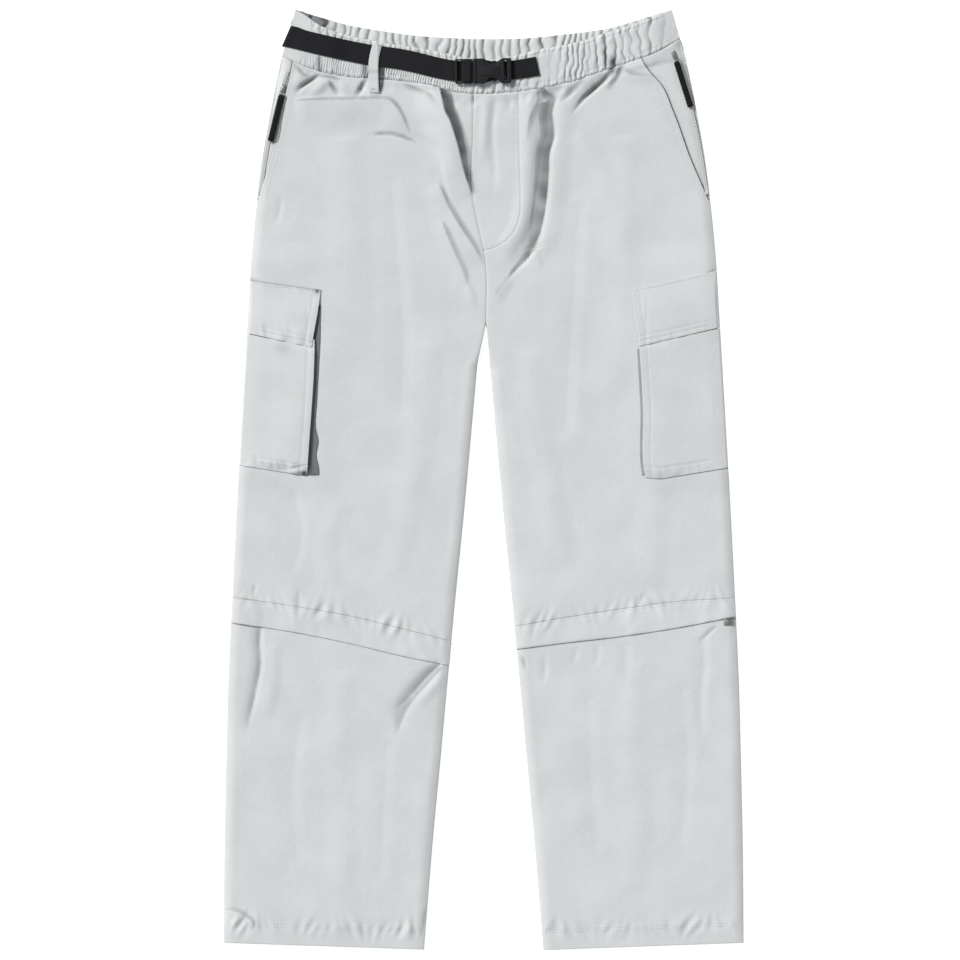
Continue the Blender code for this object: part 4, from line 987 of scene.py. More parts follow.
pocketLook = {
    "wall": 0.9, "gap": 0.3, "turn": 3.5, "under": 54.0, "cells": (74, 96), "flapCells": (74, 46),
    "right": {
        "puff": 4.4, "pucker": 2.6,
        "top": straightLine([(-255, 216), (-176, 204.6)]), "hem": straightLine([(-256, 158), (-182, 141.6)]),
        "foot": straightLine([(-265, 15.6), (-188, 3.4)]),
        "flapInner": smoothLine([(140, -185.4), (150, -184.0), (176, -179.4), (206, -175)]),
        "outer": smoothLine([(4, -177.5), (12, -177.7), (26, -180.4), (43, -178.4), (54, -180.9),
                             (86, -179.8), (124, -177.7), (143, -176.6), (190, -175.8)]),
        "high": 188,
        "inner": smoothLine([(3, -190.2), (20, -189.2), (70, -185.6), (120, -182.6), (142, -182)]),
    },
    "left": {
        "puff": 2.0, "pucker": 0.8,
        "top": straightLine([(159, 205), (255, 226)]), "hem": straightLine([(166, 143), (257, 164.4)]),
        "foot": straightLine([(176, 2), (190, 0.6), (265, 12.8)]),
        "flapInner": smoothLine([(143, 168), (160, 166), (184, 162), (205, 159.4)]),
        "outer": smoothLine([(0, 172.2), (10, 170.6), (76, 169.6), (143, 166)]), "high": 141,
        "inner": smoothLine([(0, 175), (10, 173.2), (76, 172.2), (143, 168)]),
    },
}


def acrossPocket(side, line, x, y):  # 0 at the pocket's inner line, 1 at the side edge
    start = sides[side] * pocketLook[side][line](y)
    return np.clip((sides[side] * x - start) / (sideEdge(y) - 3.5 - start), 0, 1)


def bagRise(side, x, y):  # how far the bag stands off the leg
    look, sign = pocketLook[side], sides[side]
    across = acrossPocket(side, "inner", x, y)
    up = np.clip((y - look["foot"](x)) / (look["hem"](x) - look["foot"](x)), 0, 1)
    full = look["puff"] * ease(up / 0.10 + 0.1) * ease((1 - up) / 0.12 + 0.6) * ease((1 - across) / 0.8)
    slump = 0.7 * np.sin(3.0 * across + 5 * up) * np.sin(math.pi * up) * np.sin(math.pi * across)
    pucker = look["pucker"] * waviness(x + 0.3 * y, y * 0.4, 5.5, 14.5) * bell(y - look["foot"](x) - 5, 7)
    curl = 3.4 * bell(x + 202, 5) * bell(y - 8, 3.4) * (side == "right")
    hemTuck = -0.5 * bell(y - look["foot"](x) - 11.5, 1.3)
    edgeStitch = -0.4 * bell(sign * (x - look["inner"](y)) - 8, 1.3)
    footEdge = -0.9 * bell(y - look["foot"](x), 1.5)
    small = slump + pucker * ease(across * 12) + hemTuck + edgeStitch + footEdge
    return full + curl + small * ease((1 - across) / 0.3)


def flapRise(side, x, y):
    look, sign = pocketLook[side], sides[side]
    across = acrossPocket(side, "flapInner", x, y)
    up = np.clip((y - look["hem"](x)) / (look["top"](x) - look["hem"](x)), 0, 1)
    overBag = bagRise(side, x, np.minimum(y, look["hem"](x))) * 0.95 + pocketLook["wall"] + 0.15
    ripple = look["pucker"] * waviness(x + 0.3 * y, y * 0.4, 6.0, 15.5)
    gaps = (y - look["hem"](x) - 5.5, y - look["hem"](x) - 10.5, look["top"](x) - y - 3.2,
            sign * (x - look["flapInner"](y)) - 8)
    lines = -0.4 * sum(bell(gap, 1.2) for gap in gaps)  # the stitching presses the cloth down
    rippled = ripple * (bell(up * 4.2, 1.0) + 0.6 * bell((1 - up) * 9, 1.0)) * ease(across * 10)
    lines = lines - (0.3 if side == "right" else 0.2) * bell(y - look["hem"](x), 1.5)
    return overBag * ease((1 - up) / 0.5) + (rippled + lines) * ease((1 - across) / 0.25)


def wrappedSheet(name, cells, edges, rise, sign, material):  # turns round the side edge, ends under the leg
    inner, low, high = edges
    turn = pocketLook["turn"]
    wall = pocketLook["wall"] + pocketLook["gap"]
    columns = np.concatenate([clustered(cells[0] - 22, 0.4), np.linspace(1, 2, 15)[1:],
                              np.linspace(2, 3, 9)[1:]])

    def place(c, v):
        onTop = c <= 1
        x = np.full_like(c, sign * 200.0)
        for _ in range(fitRounds):
            y = low(x) + (high(x) - low(x)) * v
            rimX = sign * (sideEdge(y) - turn)
            x = np.where(onTop, inner(y) + (rimX - inner(y)) * np.minimum(c, 1), sign * sideEdge(y))
        held = sign * np.minimum(np.abs(np.where(onTop, x, rimX)), sideEdge(y) - 22)
        fall = 1.5 * np.clip(1 - (sideEdge(y) - turn - np.abs(np.where(onTop, x, rimX))) / 16, 0, 1) ** 2
        z = clothTop(held, y) + wall + rise(np.where(onTop, x, rimX), y) - fall
        rimZ = clothTop(sign * (sideEdge(y) - 22), y) + wall - 1.5
        z = np.where(onTop, np.maximum(z, clothTop(x, y) + wall - 0.1), z)
        angle = math.pi * np.clip(c - 1, 0, 1)
        under = turn * np.sin(angle) - pocketLook["under"] * np.clip(c - 2, 0, 1)
        x = np.where(onTop, x, rimX + sign * under)
        z = np.where(onTop, z, rimZ / 2 * (1 + np.cos(angle)))
        return x, y, z

    bm = mappedGrid(columns, clustered(cells[1], 0.4), place)
    bmesh.ops.recalc_face_normals(bm, faces=bm.faces[:])
    faceUp(bm)
    return thicken(newObject(name, bm, material), pocketLook["wall"])


def makeThighPockets():
    for side, sign in sides.items():
        look = pocketLook[side]
        bagTop = lambda x: look["hem"](x) - 0.6 + 9.6 * ease((232 - np.abs(x)) / 12)
        bag = wrappedSheet("pocketBag_" + side, pocketLook["cells"], (look["inner"], look["foot"], bagTop),
                           lambda x, y: bagRise(side, x, y), sign, nylon)
        if side == "right":  # painted shade under the curled lower corner, and of a soft crease below the flap
            shadeWith(bag, lambda x, y: spot("bagCorner", x, y) + spot("bagTop", x, y)
                      + 0.7 * bell(y - 14 - 0.25 * (x + 202), 0.8) * bell(x + 201, 8, 4))
        sewn(bag, ["cargo_pocket_" + side])
        edges = (look["flapInner"], look["hem"], look["top"])
        flap = wrappedSheet("pocketFlap_" + side, pocketLook["flapCells"], edges,
                            lambda x, y: flapRise(side, x, y), sign, nylon)
        if side == "right":  # painted shade: a fine dark line over the flap, and the knot at its corner
            shadeWith(flap, lambda x, y: 0.55 * bell(look["top"](x) - y - 0.3, 0.8) + spot("flapKnot", x, y))
        sewn(flap, ["cargo_flap_" + side])
        makeGusset(side, sign, look)


def makeGusset(side, sign, look):  # the strip, laid in folds, that joins the bag to the leg, mostly in painted shade
    outline = ordered(lambda y: look["inner"](y) + sign * 1.2, look["outer"], sign)
    acrossStrip = lambda x, y: np.clip((x - look["outer"](y)) / (look["inner"](y) - look["outer"](y)), 0, 1)

    def top(x, y):
        share = acrossStrip(x, y)
        fold = 0.3 * np.sin(y / 8.0 + 2 * np.sin(y / 21.0)) * np.sin(math.pi * share)
        tall = bagRise(side, look["inner"](y) + sign * 2, np.minimum(y, 138)) - 0.6
        level = 0.1 + np.maximum(tall, 0) * ease((share - 0.55) / 0.6) * (y < 143)
        level = np.maximum(level + fold * ease(share / 0.2), 0.02)
        return clothTop(x, y) + 0.1 + 0.5 * ease(share / 0.12) + level

    lines = (*outline, lambda x: 0 * x + 5.0, lambda x: 0 * x + look["high"])
    strip = panelSheet("pocketStrip_" + side, (16, 110), lines, top, nylonShade, thick=0.5)
    # painted shade on the strip, strong on the right side, faint on the left
    deep = 1.0 if side == "right" else 0.12
    shadeWith(strip, lambda x, y: deep * (0.5 + 0.5 * ease((y - 180) / 5) + 0.4 * acrossStrip(x, y)))
    sewn(strip, ["cargo_gusset_" + side],
         spare=1.1)


# Belt, tab and loop

beltLook = {
    "width": 22.0, "wall": 1.2, "cells": 16, "bend": 2.6,
    "buckleMiddle": (0.0, 440.2), "tilt": math.radians(1.0),
    "loopWidth": 10.6, "loopWall": 1.0,
}


def acrossBelt(x):
    slope = (beltLine(x + 2) - beltLine(x - 2)) / 4
    return np.array([-float(slope), 1.0]) / math.hypot(1, float(slope))


def bandUnder(x, half=11):  # the highest of the band's cloth under the belt here
    side = acrossBelt(x)
    w = np.linspace(-half, half, 9)
    spots = np.array([(x + side[0] * a + dx, float(beltLine(x)) + side[1] * a)
                      for a in w for dx in (-3, 0, 3)])
    return float(bandTop(spots[:, 0], spots[:, 1]).max())


def stripOf(name, stations, width, wall, material, cells=None, skew=None):
    # stations: x, y, z, and the direction across; the UV runs in millimetres along the strip
    cells = cells or beltLook["cells"]
    stations = np.asarray(stations)
    run = np.concatenate([[0], np.cumsum(np.linalg.norm(np.diff(stations[:, :3], axis=0), axis=1))])
    w = np.linspace(-0.5, 0.5, cells + 1)

    def place(i, v):
        i = np.rint(i).astype(int)
        row = stations[i]
        shift = skew(row[:, 0], v) if skew else 0
        return row[:, 0] + row[:, 3] * width * v + shift, row[:, 1] + row[:, 4] * width * v, row[:, 2]

    bm = mappedGrid(np.arange(len(stations)), w, place)
    layer = bm.loops.layers.uv.new("UVMap")
    bm.verts.ensure_lookup_table()
    count = len(stations)
    places = {}
    for vert in bm.verts:
        i, j = vert.index % count, vert.index // count
        places[vert] = (run[i], w[j] * width)
    for face in bm.faces:
        for loop in face.loops:
            loop[layer].uv = places[loop.vert]
    bm.normal_update()
    faceUp(bm)
    obj = thicken(newObject(name, bm, material), wall, 1.0)
    rim = obj.modifiers.new("rim", "BEVEL")
    rim.width = 0.25 * mm
    rim.segments = 2
    rim.limit_method = "ANGLE"
    rim.angle_limit = math.radians(60)
    length = float(run[-1]) * mm
    return obj, ((width * mm, length), width * mm * length * 0.999)


def makeBelt():
    look = beltLook
    left = -layers["beltEdge"]
    level = max(bandUnder(x) for x in (-30, -24, -18, -12, -6, 0, 8, 16, 24, 31)) + 0.3
    turnTop = bandUnder(left + 6) + 0.3
    edgeSide = acrossBelt(left)
    stations = []
    for share in (1.0, 0.75, 0.5, 0.25, 0.0):
        x = left + layers["beltReturn"] * share
        stations.append((x, float(beltLine(left)) - (x - left) * 0.24, look["wall"], *edgeSide))
    for angle in (-60, -30, 0, 30, 60):
        bend = math.radians(angle)
        middle = look["wall"] + (turnTop - look["wall"]) / 2
        stations.append((left - look["bend"] * math.cos(bend), float(beltLine(left)),
                         middle + (turnTop - look["wall"]) / 2 * math.sin(bend), *edgeSide))
    for x in [left, -208, -203, -196, -188, -176, -162, -148, -134, -120, -106, -92, -78, -64, -52, -42]:
        height = max(bandUnder(x) + 0.3, turnTop if x < -206 else 0)
        stations.append((x, float(beltLine(x)), height, *acrossBelt(x)))
    for x, rise in ((-36, 0.2), (-31, 0.0), (-27.0, 0.0), (-23.8, 0.4), (-22.4, 3.4), (-20.8, 4.4),
                    (-17.5, 4.6), (-14.0, 4.3), (-12.5, 1.2)):  # up through the buckle
        stations.append((x, float(beltLine(x)), level + rise, *acrossBelt(-20)))
    edgeSlant = lambda x, v: (3.2 + 6.2 * v) * ease((-190 - x) / 22)  # the end follows the slanted side edge
    belt, cut = stripOf("beltWebbing", roundedPath(stations), look["width"], look["wall"], webbing,
                        skew=edgeSlant)
    # painted shade where the webbing lies in the buckle's outer slot
    paintedSlotShade = lambda x, y: ease((x + 28.6) / 0.8) * ease((-22.2 - x) / 0.8)
    shadeWith(belt, paintedSlotShade)
    sewn(belt, ["belt"], cut=cut)
    rows = [(23.2, float(beltLine(23)), level + 3.4, *acrossBelt(23)),
            (24.9, float(beltLine(25)), level + 0.4, *acrossBelt(25))]
    for x in (31, 38, 45, 52, 58.5):
        rows.append((x, float(beltLine(x)), level if x < 33 else bandUnder(x) + 0.3, *acrossBelt(x)))
    slant = lambda x, v: ease((x - 46) / 12) * v * -1.6
    tab, cut = stripOf("beltTab", roundedPath(rows), look["width"] - 1.5, look["wall"], webbing, skew=slant)
    sewn(tab, ["belt_tab"], cut=cut)
    return level


def makeBeltLoop(belt):
    look = beltLook
    centre = smoothLine([(470, -114.4), (453, -118.2), (433, -118.6), (411, -117)])
    shadow = lambda x, y: 0.45 * ease((x + 114.8) / 1.5) + spot("loopEnd", x, y)
    graph = bpy.context.evaluated_depsgraph_get()
    whole = bpy.data.meshes.new_from_object(belt.evaluated_get(graph))
    tree = BVHTree.FromPolygons([vert.co.copy() for vert in whole.vertices],
                                [list(polygon.vertices) for polygon in whole.polygons])
    bpy.data.meshes.remove(whole)
    rows = []
    for y in np.linspace(469, 417.4, 27):
        x = float(centre(y))
        near = np.array([(x + w, y + t) for w in (-6, -2, 2, 6) for t in (-2.5, 0, 2.5)])
        under = max(float(np.where(near[:, 1] > waistSeam(near[:, 0]), bandTop(near[:, 0], near[:, 1]),
                                   clothTop(near[:, 0], near[:, 1])).max()), heightOn(tree, x, y, 3.5))
        rows.append([x, y, under + 0.35, 1.0, 0.0])
    rows = np.array(rows)
    tall = rows[:, 2].copy()
    for i in range(len(rows)):  # the loop spans the dips beside the belt
        rows[i, 2] = max(tall[max(0, i - 1):i + 2].max(), rows[i, 2])
    kernel = np.array([0.25, 0.5, 0.25])
    padded = np.concatenate([rows[:1, 2], rows[:, 2], rows[-1:, 2]])
    rows[:, 2] = np.maximum(np.convolve(padded, kernel, "valid"), tall)
    rows[:, 2] -= 0.7 * ease((421.5 - rows[:, 1]) / 4)  # the end is sewn down flat
    loop, cut = stripOf("beltLoopCloth", roundedPath(rows, 3), look["loopWidth"], look["loopWall"], nylonBand,
                        cells=10)
    shadeWith(loop, shadow)
    sewn(loop, ["belt_loop"], cut=cut)


# Buckle

buckleLook = {
    "half": 13.4, "frame": (-30.8, -11.4), "frameThick": 2.6, "bodyThick": 5.4, "bevel": 0.55,
    "outerSlot": (-28.2, -22.4, 11.9), "innerSlot": (-13.6, -11.9, 11.4), "tabSlot": (22.9, 25.1, 11.4),
}


def finalShape(obj, bm=None):  # an object as its modifiers or its curve make it, added to a bmesh
    mesh = bpy.data.meshes.new_from_object(obj.evaluated_get(bpy.context.evaluated_depsgraph_get()))
    bm = bmesh.new() if bm is None else bm
    bm.from_mesh(mesh)
    bpy.data.meshes.remove(mesh)
    return bm


def curveShape(curve):
    holder = bpy.data.objects.new("line", curve)
    bpy.context.scene.collection.objects.link(holder)
    bpy.context.view_layer.update()
    bm = finalShape(holder)
    bpy.data.objects.remove(holder)
    return bm


def roundEdges(bm, edges, width, segments=2):
    bmesh.ops.bevel(bm, geom=edges, offset=width * mm, offset_type="OFFSET", segments=segments,
                    affect="EDGES", profile=0.5, material=-1, clamp_overlap=True)


def roundedBox(left, right, half, radius=1.0, steps=4):  # points round a box with round corners
    points = []
    for cx, cy, start in ((right - radius, half - radius, 0), (left + radius, half - radius, 90),
                          (left + radius, -half + radius, 180), (right - radius, -half + radius, 270)):
        for i in range(steps + 1):
            a = math.radians(start + 90 * i / steps)
            points.append((cx + radius * math.cos(a), cy + radius * math.sin(a)))
    return points


def cutPlate(name, outlines, thick, bevel, material, place):  # a flat outline with its slots, thickened
    curve = bpy.data.curves.new(name, "CURVE")
    curve.dimensions = "2D"
    curve.fill_mode = "BOTH"
    curve.extrude = (thick / 2 - bevel) * mm
    curve.bevel_depth = bevel * mm
    curve.bevel_resolution = 2
    curve.offset = -bevel * mm
    for points in outlines:
        spline = curve.splines.new("POLY")
        spline.points.add(len(points) - 1)
        for point, (x, y) in zip(spline.points, points):
            point.co = (x * mm, y * mm, 0, 1)
        spline.use_cyclic_u = True
    bm = curveShape(curve)
    bmesh.ops.remove_doubles(bm, verts=bm.verts, dist=0.00001)
    bmesh.ops.recalc_face_normals(bm, faces=bm.faces[:])
    bmesh.ops.transform(bm, matrix=place, verts=bm.verts)
    obj = newObject(name, bm, material)
    obj.data.set_sharp_from_angle(angle=math.radians(35))
    return obj


def joined(name, parts):  # several shapes made one piece
    bm = bmesh.new()
    materials = []
    for part in parts:
        start = len(bm.faces)
        finalShape(part, bm)
        bm.faces.ensure_lookup_table()
        own = part.data.materials[0]
        if own not in materials:
            materials.append(own)
        for face in bm.faces[start:]:
            face.material_index = materials.index(own)
        pieces.pop(part.name, None)
        bpy.data.objects.remove(part)
    obj = newObject(name, bm, materials[0], smooth=False)
    for other in materials[1:]:
        obj.data.materials.append(other)
    return obj


def makeBuckle(level):
    look = buckleLook
    middle = Vector((*beltLook["buckleMiddle"], level)) * mm
    base = Matrix.Translation(middle) @ Matrix.Rotation(beltLook["tilt"], 4, "Z")

    def at(z, x=0.0, y=0.0):
        return base @ Matrix.Translation(Vector((x, y, z)) * mm)

    low = beltLook["wall"] + 0.3
    half = look["half"]
    frameOutline = roundedBox(*look["frame"], half, 2.2, 6)
    slots = [roundedBox(*look["outerSlot"], 0.8), roundedBox(*look["innerSlot"], 0.5)]
    bar = cutPlate("frameShape", [frameOutline, *slots], look["frameThick"], 0.5, acetal, at(low + 1.3))
    arm = [(-12.5, 9.8), (2, 12.2), (5.5, 11.4), (9, 10.4), (13.2, 11.0), (15.4, 9.4), (13.8, 5.6), (6, 4.6),
           (-12.5, 4.2)]
    # the arms take the darker acetal copy: painted shade
    arms = [cutPlate("arm", [[(x, sign * y) for x, y in arm]], 2.2, 0.4, acetalPaintedShade, at(low + 1.3))
            for sign in (-1, 1)]
    prongs = joined("buckleProngs", [bar, *arms])
    settle(prongs, ["buckle_prongs"])
    upper = [(-11.2, half - 0.6), (-10.4, half), (0.6, half), (1.6, half - 0.4)]
    for i in range(1, 8):  # the curve that is cut in for the finger
        t = i / 8
        upper.append((1.6 + 7.0 * t, half - 0.4 - 5.6 * math.sin(math.pi / 2 * t)))
    for i in range(1, 9):
        t = i / 8
        upper.append((8.6 + 10.8 * t, half - 6.0 + 5.6 * (1 - math.cos(math.pi / 2 * t))))
    upper += [(21.0, half), (28.6, half), (29.9, half - 1.2)]
    outline = [(x, -y) for x, y in upper] + list(reversed(upper))
    body = cutPlate("bodyShape", [outline, roundedBox(*look["tabSlot"], 0.5)],
                    look["bodyThick"], look["bevel"], acetal, at(low + look["bodyThick"] / 2))
    raised = [("rimShape", (-10.9, -7.6, half - 0.5, 0.8), 1.2, 0.2),  # ribs and crown on its face
              ("crownShape", (-5.8, 17.6, 5.4, 2.4, 6), 0.9, 0.1),
              ("endShape", (19.6, 22.2, half - 1.0, 0.8), 1.0, 0.1)]
    raised = [cutPlate(name, [roundedBox(*box)], thick, 0.4, acetal, at(low + look["bodyThick"] + rise))
              for name, box, thick, rise in raised]
    socket = joined("buckleSocket", [body, *raised])
    settle(socket, ["buckle_socket"])


# Zips, sliders and pulls

zipLook = {
    "half": 1.8, "wall": 0.9, "low": 307.5, "high": 440.5, "rows": 80,  # the hip zips run from low to high
    "sliderSize": (5.2, 8.6, 1.8), "sliderAt": {"right": 422.0, "left": 458.0}, "pullGap": 2.2,
    "kneeSlider": (10.0, 6.5, 1.5), "kneeSliderAt": {"right": (-258, -143.5), "left": (264, -154)},
}
pullLook = {"width": 6.5, "length": 52.0, "thick": 2.6, "ribs": 13, "cord": 0.5}


def makeSlider(name, node, size, centre, turn, tree):
    sx, sy, sz = size
    x, y = centre
    z = 0.25 + max(heightOn(tree, x + dx, y + dy)
                   for dx in (-sx / 2, 0, sx / 2) for dy in (-sy / 2, 0, sy / 2))
    bm = bmesh.new()
    bmesh.ops.create_cube(bm, size=1.0)
    bmesh.ops.scale(bm, vec=(sx * mm, sy * mm, sz * 0.55 * mm), verts=bm.verts)
    long = [edge for edge in bm.edges if abs(edge.verts[0].co.y - edge.verts[1].co.y) > sy * 0.9 * mm]
    bmesh.ops.subdivide_edges(bm, edges=long, cuts=5, use_grid_fill=True)
    for vert in bm.verts:  # narrow at the tail, like a slider's plate
        share = vert.co.y / (sy * mm) + 0.5
        vert.co.x *= 0.62 + 0.38 * math.sin(math.pi * (0.25 + 0.55 * share)) ** 0.8
    roundEdges(bm, bm.edges[:], 0.28)
    plate = newObject("plate", bm, plated)
    bridge = bmesh.new()
    bmesh.ops.create_cube(bridge, size=1.0)
    bmesh.ops.scale(bridge, vec=(sx * 0.3 * mm, sy * 0.62 * mm, sz * 0.5 * mm), verts=bridge.verts)
    bmesh.ops.translate(bridge, vec=(0, 0, sz * 0.42 * mm), verts=bridge.verts)
    roundEdges(bridge, bridge.edges[:], 0.35, 3)
    crown = newObject("crown", bridge, plated)
    slider = joined(name, [plate, crown])
    place = Matrix.Translation(Vector((x, y, z + sz * 0.275)) * mm) @ Matrix.Rotation(turn, 4, "Z")
    slider.data.transform(place)
    settle(slider, [node])


def tubeAlong(name, points, radius, material, place):
    curve = bpy.data.curves.new(name, "CURVE")
    curve.dimensions = "3D"
    curve.bevel_depth = radius * mm
    curve.bevel_resolution = 3
    curve.use_fill_caps = True
    curve.resolution_u = 5
    spline = curve.splines.new("BEZIER")
    spline.bezier_points.add(len(points) - 1)
    for point, co in zip(spline.bezier_points, points):
        point.co = Vector(co) * mm
        point.handle_left_type = point.handle_right_type = "AUTO"
    bm = curveShape(curve)
    bmesh.ops.transform(bm, matrix=place, verts=bm.verts)
    return newObject(name, bm, material)


def makeHipZips():
    for side, sign in sides.items():
        rows = []
        for y in np.linspace(zipLook["low"], zipLook["high"], zipLook["rows"]):
            x = sign * float(zipLine(y))
            px = x + np.array([-2.6, -1, 1, 2.6])
            py = np.full_like(px, y)
            covered = px * sign < float(mouth[side](y))
            height = float(np.where(covered, clothTop(px, py), hipTop(px, py)).max())
            slope = sign * float(zipLine(y + 1) - zipLine(y - 1)) / 2
            turn = math.atan(slope)
            rows.append((x, y, height + 0.15, math.cos(turn), -math.sin(turn)))
        strip, cut = stripOf("hipZipTape_" + side, rows, 2 * zipLook["half"], zipLook["wall"], coil, cells=6)
        sewn(strip, ["hip_zip_" + side], cut=cut)


def makePulls():
    joints = {row["name"]: row for row in frame["joints"]}
    for side in sides:
        joint = joints[side + "_pull_hinge"]
        hinge = Vector(joint["pos_m"])
        axis = Vector(joint["axis"])
        turn = math.atan2(-axis.y, -axis.x)
        place = Matrix.Translation(hinge) @ Matrix.Rotation(turn, 4, "Z")
        length, width, thick = pullLook["length"], pullLook["width"], pullLook["thick"]
        bm = bmesh.new()
        bmesh.ops.create_grid(bm, x_segments=1, y_segments=1, size=0.5)
        bmesh.ops.scale(bm, vec=(width * 0.62 * mm, thick * 0.8 * mm, 1), verts=bm.verts)
        bmesh.ops.rotate(bm, matrix=Matrix.Rotation(math.radians(90), 3, "X"), verts=bm.verts)
        bmesh.ops.translate(bm, vec=(0, -0.6 * mm, 0), verts=bm.verts)
        steps = [(1.2, 1.45, 1.15), (1.6, 1.1, 1.06)]  # how far, and how much wider and taller
        for _ in range(pullLook["ribs"]):
            steps += [(0.9, 1, 1), (0.5, 0.93, 0.84), (1.1, 1, 1), (0.5, 1 / 0.93, 1 / 0.84), (0.25, 1, 1)]
        used = sum(step[0] for step in steps)
        steps += [(length - used - 2.2, 1, 1), (1.1, 0.9, 0.92), (0.7, 0.7, 0.75)]
        face = bm.faces[:][0]
        for far, wide, tall in steps:
            made = bmesh.ops.extrude_face_region(bm, geom=[face])
            verts = [part for part in made["geom"] if isinstance(part, bmesh.types.BMVert)]
            bmesh.ops.delete(bm, geom=[face], context="FACES_ONLY")
            face = [part for part in made["geom"] if isinstance(part, bmesh.types.BMFace)][0]
            bmesh.ops.translate(bm, vec=(0, -far * mm, 0), verts=verts)
            bmesh.ops.scale(bm, vec=(wide, 1, tall), verts=verts)
        bmesh.ops.holes_fill(bm, edges=bm.edges[:], sides=4)
        bmesh.ops.recalc_face_normals(bm, faces=bm.faces[:])
        long = [edge for edge in bm.edges if abs(edge.verts[0].co.y - edge.verts[1].co.y) > 0.1 * mm]
        roundEdges(bm, long, 0.55)
        bmesh.ops.transform(bm, matrix=place, verts=bm.verts)
        bar = newObject("pullBar_" + side, bm, rubber)
        bar.data.set_sharp_from_angle(angle=math.radians(50))
        settle(bar, ["pull_" + side], side + "_pull")
        beside = width / 2
        points = [(0.4, -0.2, 0.6), (1.4, -0.1, 0.6), (beside + 0.9, -0.8, 0.3), (beside + 1.9, -7, -0.3),
                  (beside + 2.0, -16, -0.3), (beside + 1.8, -26, -0.3), (beside + 2.7, -38, -0.3),
                  (beside + 2.5, -46, -0.3), (beside + 0.9, -50.6, -0.2), (beside - 0.9, -50.4, -0.1)]
        cord = tubeAlong("pullLoop_" + side, points, pullLook["cord"], braid, place)
        settle(cord, ["pull_cord_" + side], side + "_pull")
        loopEnd = [(-0.9, -0.5, 0.3), (-0.9, 0.3, 0.4), (0, 0.9, 0.4), (0.9, 0.3, 0.4), (0.9, -0.5, 0.3)]
        eye = tubeAlong("pullEye_" + side, loopEnd, pullLook["cord"] * 0.9, braid, place)
        settle(eye, [], side + "_pull")


def makeSliders():
    look, length = zipLook, pullLook["length"]
    for side, centre in look["kneeSliderAt"].items():
        tree = surfaceOf(pieces["lowerFrontCloth_" + side], pieces["kneeZipTape_" + side])
        makeSlider("kneeSlider_" + side, "knee_slider_" + side, look["kneeSlider"], centre, 0.06, tree)
    for side, sign in sides.items():
        y = look["sliderAt"][side]
        top = y - look["sliderSize"][1] / 2 - look["pullGap"]
        turn = math.atan2(float(zipLine(top - length) - zipLine(top)), length) * sign
        x = sign * float(zipLine(y)) + (1.0 if sign < 0 else 0.0)
        tree = surfaceOf(*[pieces[name + side] for name in ("hipPanelCloth_", "frontCloth_", "hipZipTape_")])
        makeSlider("hipSlider_" + side, "hip_slider_" + side, look["sliderSize"], (x, y), turn, tree)


# Sewing

stitchLook = {"pitch": 3.3, "long": 2.2, "wide": 0.62, "tall": 0.42, "sunk": 0.05}


def stitchRow(name, lines, trees):  # short rounded stitches laid along sewn lines
    look = stitchLook
    bm = bmesh.new()
    for line in lines:
        path = roundedPath(line, 8) if len(line) > 2 else np.array(line, dtype=float)
        steps = np.linalg.norm(np.diff(path, axis=0), axis=1)
        run = np.concatenate([[0], np.cumsum(steps)])
        for along in np.arange(look["pitch"] / 2, run[-1], look["pitch"]):
            x, y = (float(np.interp(along, run, path[:, k])) for k in (0, 1))
            ax, ay = (float(np.interp(along + 0.8, run, path[:, k])) for k in (0, 1))
            z = max(heightOn(tree, x, y) for tree in trees)
            z2 = max(heightOn(tree, ax, ay) for tree in trees)
            made = bmesh.ops.create_icosphere(bm, subdivisions=1, radius=0.5 * mm)
            direction = Vector((ax - x, ay - y, z2 - z if abs(z2 - z) < 0.6 else 0))
            turn = direction.to_track_quat("X", "Z").to_matrix().to_4x4()
            size = Matrix.Diagonal((look["long"], look["wide"], look["tall"], 1))
            place = Matrix.Translation(Vector((x, y, z + look["sunk"])) * mm)
            bmesh.ops.transform(bm, matrix=place @ turn @ size, verts=made["verts"])
    obj = newObject(name, bm, thread)
    settle(obj, [])
    return obj


def lineAt(function, start, end, shift=0.0, step=8.0):  # points of a cross line Y = f(X)
    xs = np.linspace(start, end, max(3, int(abs(end - start) / step)))
    return [(float(x), float(function(x)) + shift) for x in xs]


def lineUp(function, start, end, shift=0.0, step=8.0):  # points of an upright line X = f(Y)
    ys = np.linspace(start, end, max(3, int(abs(end - start) / step)))
    return [(float(function(y)) + shift, float(y)) for y in ys]


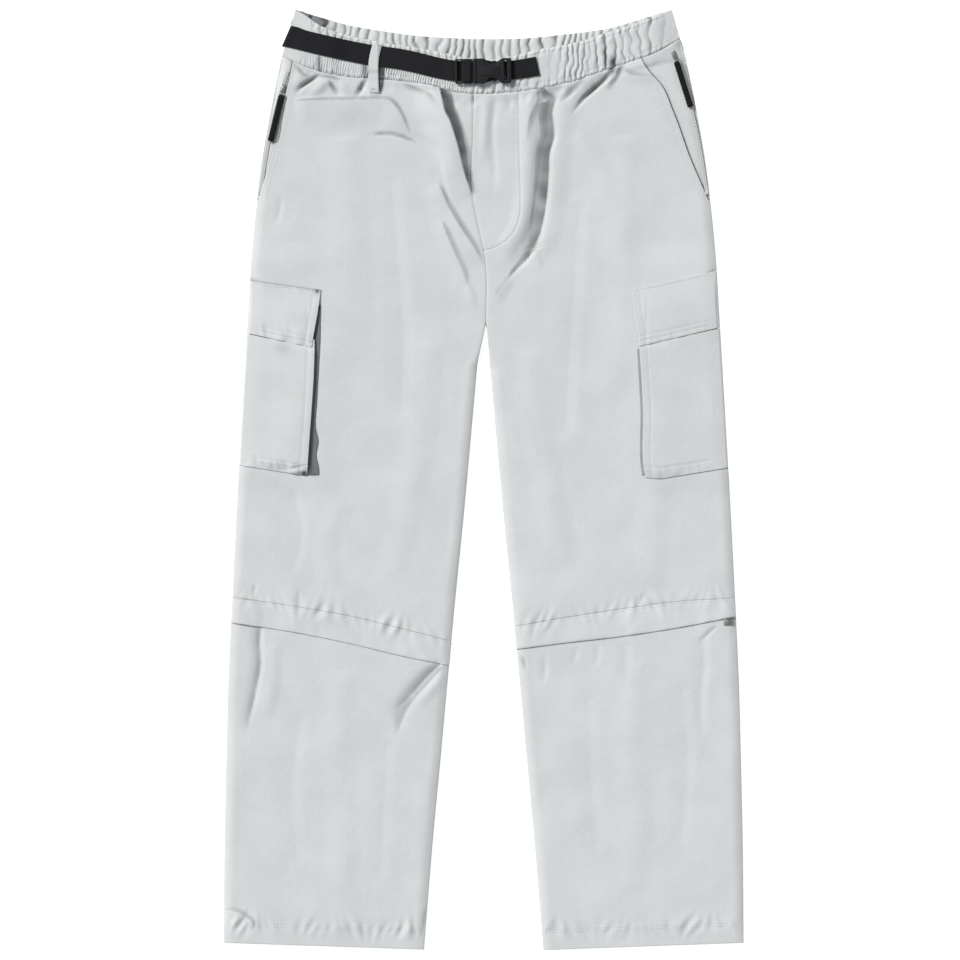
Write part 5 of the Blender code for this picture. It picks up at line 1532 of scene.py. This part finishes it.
def makeStitching():
    for side, sign in sides.items():
        legs = [surfaceOf(pieces[name + side])
                for name in ("frontCloth_", "lowerFrontCloth_", "kneeFlapCloth_", "hipPanelCloth_")]
        legs.append(surfaceOf(pieces["flyCloth"]))
        seam = kneeSeam[side]
        a, b = sorted((sign * 30, sign * 266))
        lines = [lineAt(seam, a + 8, b - 2, -2.6),
                 lineAt(hemLine, sign * 66, sign * 278, 22), lineAt(hemLine, sign * 66, sign * 278, 19)]
        stitchRow("kneeStitches_" + side, lines, legs)
        top = 452 if sign < 0 else 440
        lines = [lineUp(mouth[side], 302, top, -sign * shift) for shift in (2.2, 7.5)]
        if sign > 0:
            lines += [lineUp(flyStitch, 249, 414, -1.6), lineUp(flyStitch, 249, 414, -5.0)]
        else:
            lines += [lineUp(centreFront, 250, 412, -2.4)]
        stitchRow("hipStitches_" + side, lines, legs)
        band = [surfaceOf(pieces["bandCloth_" + side]), *legs]
        near = (-196, -10) if sign < 0 else (4, 196)
        lines = [lineAt(waistSeam, *near, -2.4, 4), lineAt(waistSeam, *near, 2.6, 4),
                 lineAt(bandFrontEdge, *near, -3.6, 4)]
        stitchRow("bandStitches_" + side, lines, band)
        look = pocketLook[side]
        pocket = [surfaceOf(pieces["pocketBag_" + side]), surfaceOf(pieces["pocketFlap_" + side])]
        rim = sign * 248
        inner = look["flapInner"]
        lines = [lineAt(look["hem"], sign * 178, rim, 5.5), lineAt(look["hem"], sign * 178, rim, 10.5),
                 lineAt(look["top"], sign * 176, rim, -3.2), lineUp(inner, 148, 200, sign * 8),
                 lineUp(inner, 148, 200, sign * 2.4), lineUp(look["inner"], 8, 140, sign * 8),
                 lineUp(look["inner"], 8, 140, sign * 2.4), lineAt(look["foot"], sign * 192, rim, 11.5)]
        stitchRow("pocketStitches_" + side, lines, pocket)


print("building")
makeStudio()
makeLegs()
makeKneeFlaps()
makeFlyAndHips()
print("legs done")
makeBand()
makeThighPockets()
print("pockets done")
buckleLevel = makeBelt()
makeBeltLoop(pieces["beltWebbing"])
makeBuckle(buckleLevel)
print("belt done")
makeHipZips()
makeSliders()
makePulls()
makeStitching()
print("fittings and sewing done")
